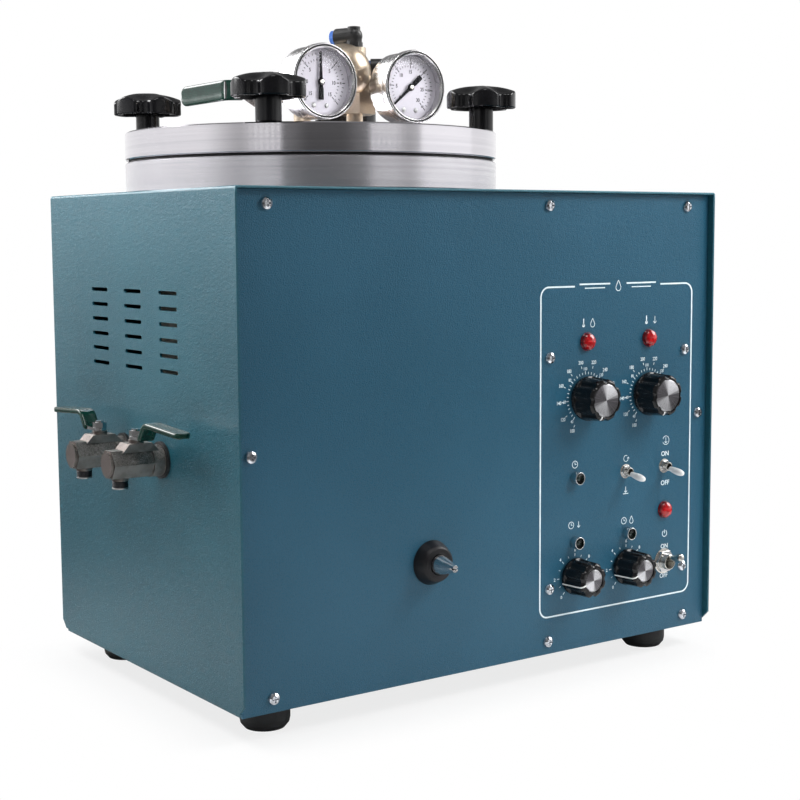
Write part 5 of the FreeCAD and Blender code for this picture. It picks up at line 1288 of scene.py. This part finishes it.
def dropMark(centre, height):
    a = np.linspace(0, 2 * math.pi, 28, endpoint=False)
    r, low = height * 0.32, centre[1] - height * 0.18
    point = np.clip(np.sin(a), 0, 1) ** 3
    across = centre[0] + r * np.cos(a) * (1 - 0.55 * point)
    return [stroke(np.column_stack([across, low + r * np.sin(a) + height * 0.36 * point]), 0.45, True)]


def thermometer(centre, height):
    low = (centre[0], centre[1] - height * 0.32)
    rim = arcLine(low, height * 0.2, 0, 360, 25)[:-1]
    index = np.arange(24)
    bulb = np.vstack([rim, [low]]), [np.stack([index, (index + 1) % 24, np.full(24, 24)], -1)]
    return [bulb, bar(low, (centre[0], centre[1] + height * 0.5), height * 0.16)]


def powerMark(centre, radius):
    tip = (centre[0], centre[1] + radius * 1.25)
    return [stroke(arcLine(centre, radius, 120, 420), 0.5), bar(centre, tip, 0.5)]


def clockMark(centre, radius):
    x, z = centre
    return [stroke(arcLine(centre, radius, 0, 354), 0.42, True), bar(centre, (x, z + radius * 0.66), 0.4),
            bar(centre, (x + radius * 0.5, z), 0.4)]


def arrowMark(centre, height):
    x, z = centre
    tip, head = z - height / 2, height * 0.3
    tails = ((x, z + height / 2), (x - head, tip + head), (x + head, tip + head))
    return [bar(tail, (x, tip), 0.45) for tail in tails]


def roundArrow(centre, radius):
    line = arcLine(centre, radius, 60, 372)
    barbs = (((-1.0, -0.7), (-0.4, -0.1), (0.1, 0.5)), ((1.0, -0.7), (0.5, -0.1), (0.0, 0.5)))
    return [stroke(part, 0.42) for part in (line, *(line[-1] + barb for barb in barbs))]


def arcMark(centre, radius):
    return [stroke(arcLine(centre, radius, 200, 520), 0.4)]


# a level line, centred, of this length and width
def ruleMark(centre, length, width):
    x, z = centre
    return [bar((x - length / 2, z), (x + length / 2, z), width)]


labelValues = [
    (dropMark, (313.0, 255.6), 7.5),
    (ruleMark, (290.5, 257.2), 29.0, 1.1), (ruleMark, (290.5, 254.4), 19.0, 0.7),
    (ruleMark, (335.5, 257.2), 29.0, 1.1), (ruleMark, (335.5, 254.4), 19.0, 0.7),
    (thermometer, (280.0, 230.2), 6.0), (dropMark, (288.5, 230.0), 6.0),
    (thermometer, (341.0, 230.2), 6.0), (arrowMark, (349.5, 230.0), 5.2),
    (clockMark, (272.7, 130.4), 2.5), (roundArrow, (322.0, 130.4), 2.2),
    (arrowMark, (322.0, 107.6), 4.4), (ruleMark, (322.0, 104.6), 5.2, 0.45),
    (arrowMark, (362.2, 140.4), 4.2), (arcMark, (362.2, 140.4), 3.2),
    (word, (361.5, 130.7), 3.5, "ON"), (word, (361.8, 108.9), 3.5, "OFF"),
    (clockMark, (269.5, 87.2), 2.4), (arrowMark, (276.5, 87.2), 4.4),
    (clockMark, (320.5, 84.8), 2.4), (dropMark, (328.0, 84.8), 5.4),
    (powerMark, (362.0, 70.6), 2.3),
    (word, (361.9, 61.2), 3.3, "ON"), (word, (361.6, 39.0), 3.3, "OFF"),
]
printShapes = frameShapes(frameValues) + dialShapes()
for mark, *sizes in labelValues:
    printShapes += mark(*sizes)
addInk("panelPrint", printShapes, panelFace - 0.01, "cabinet", "whiteInk", 0.0, coverBottom)
print("panel print made")
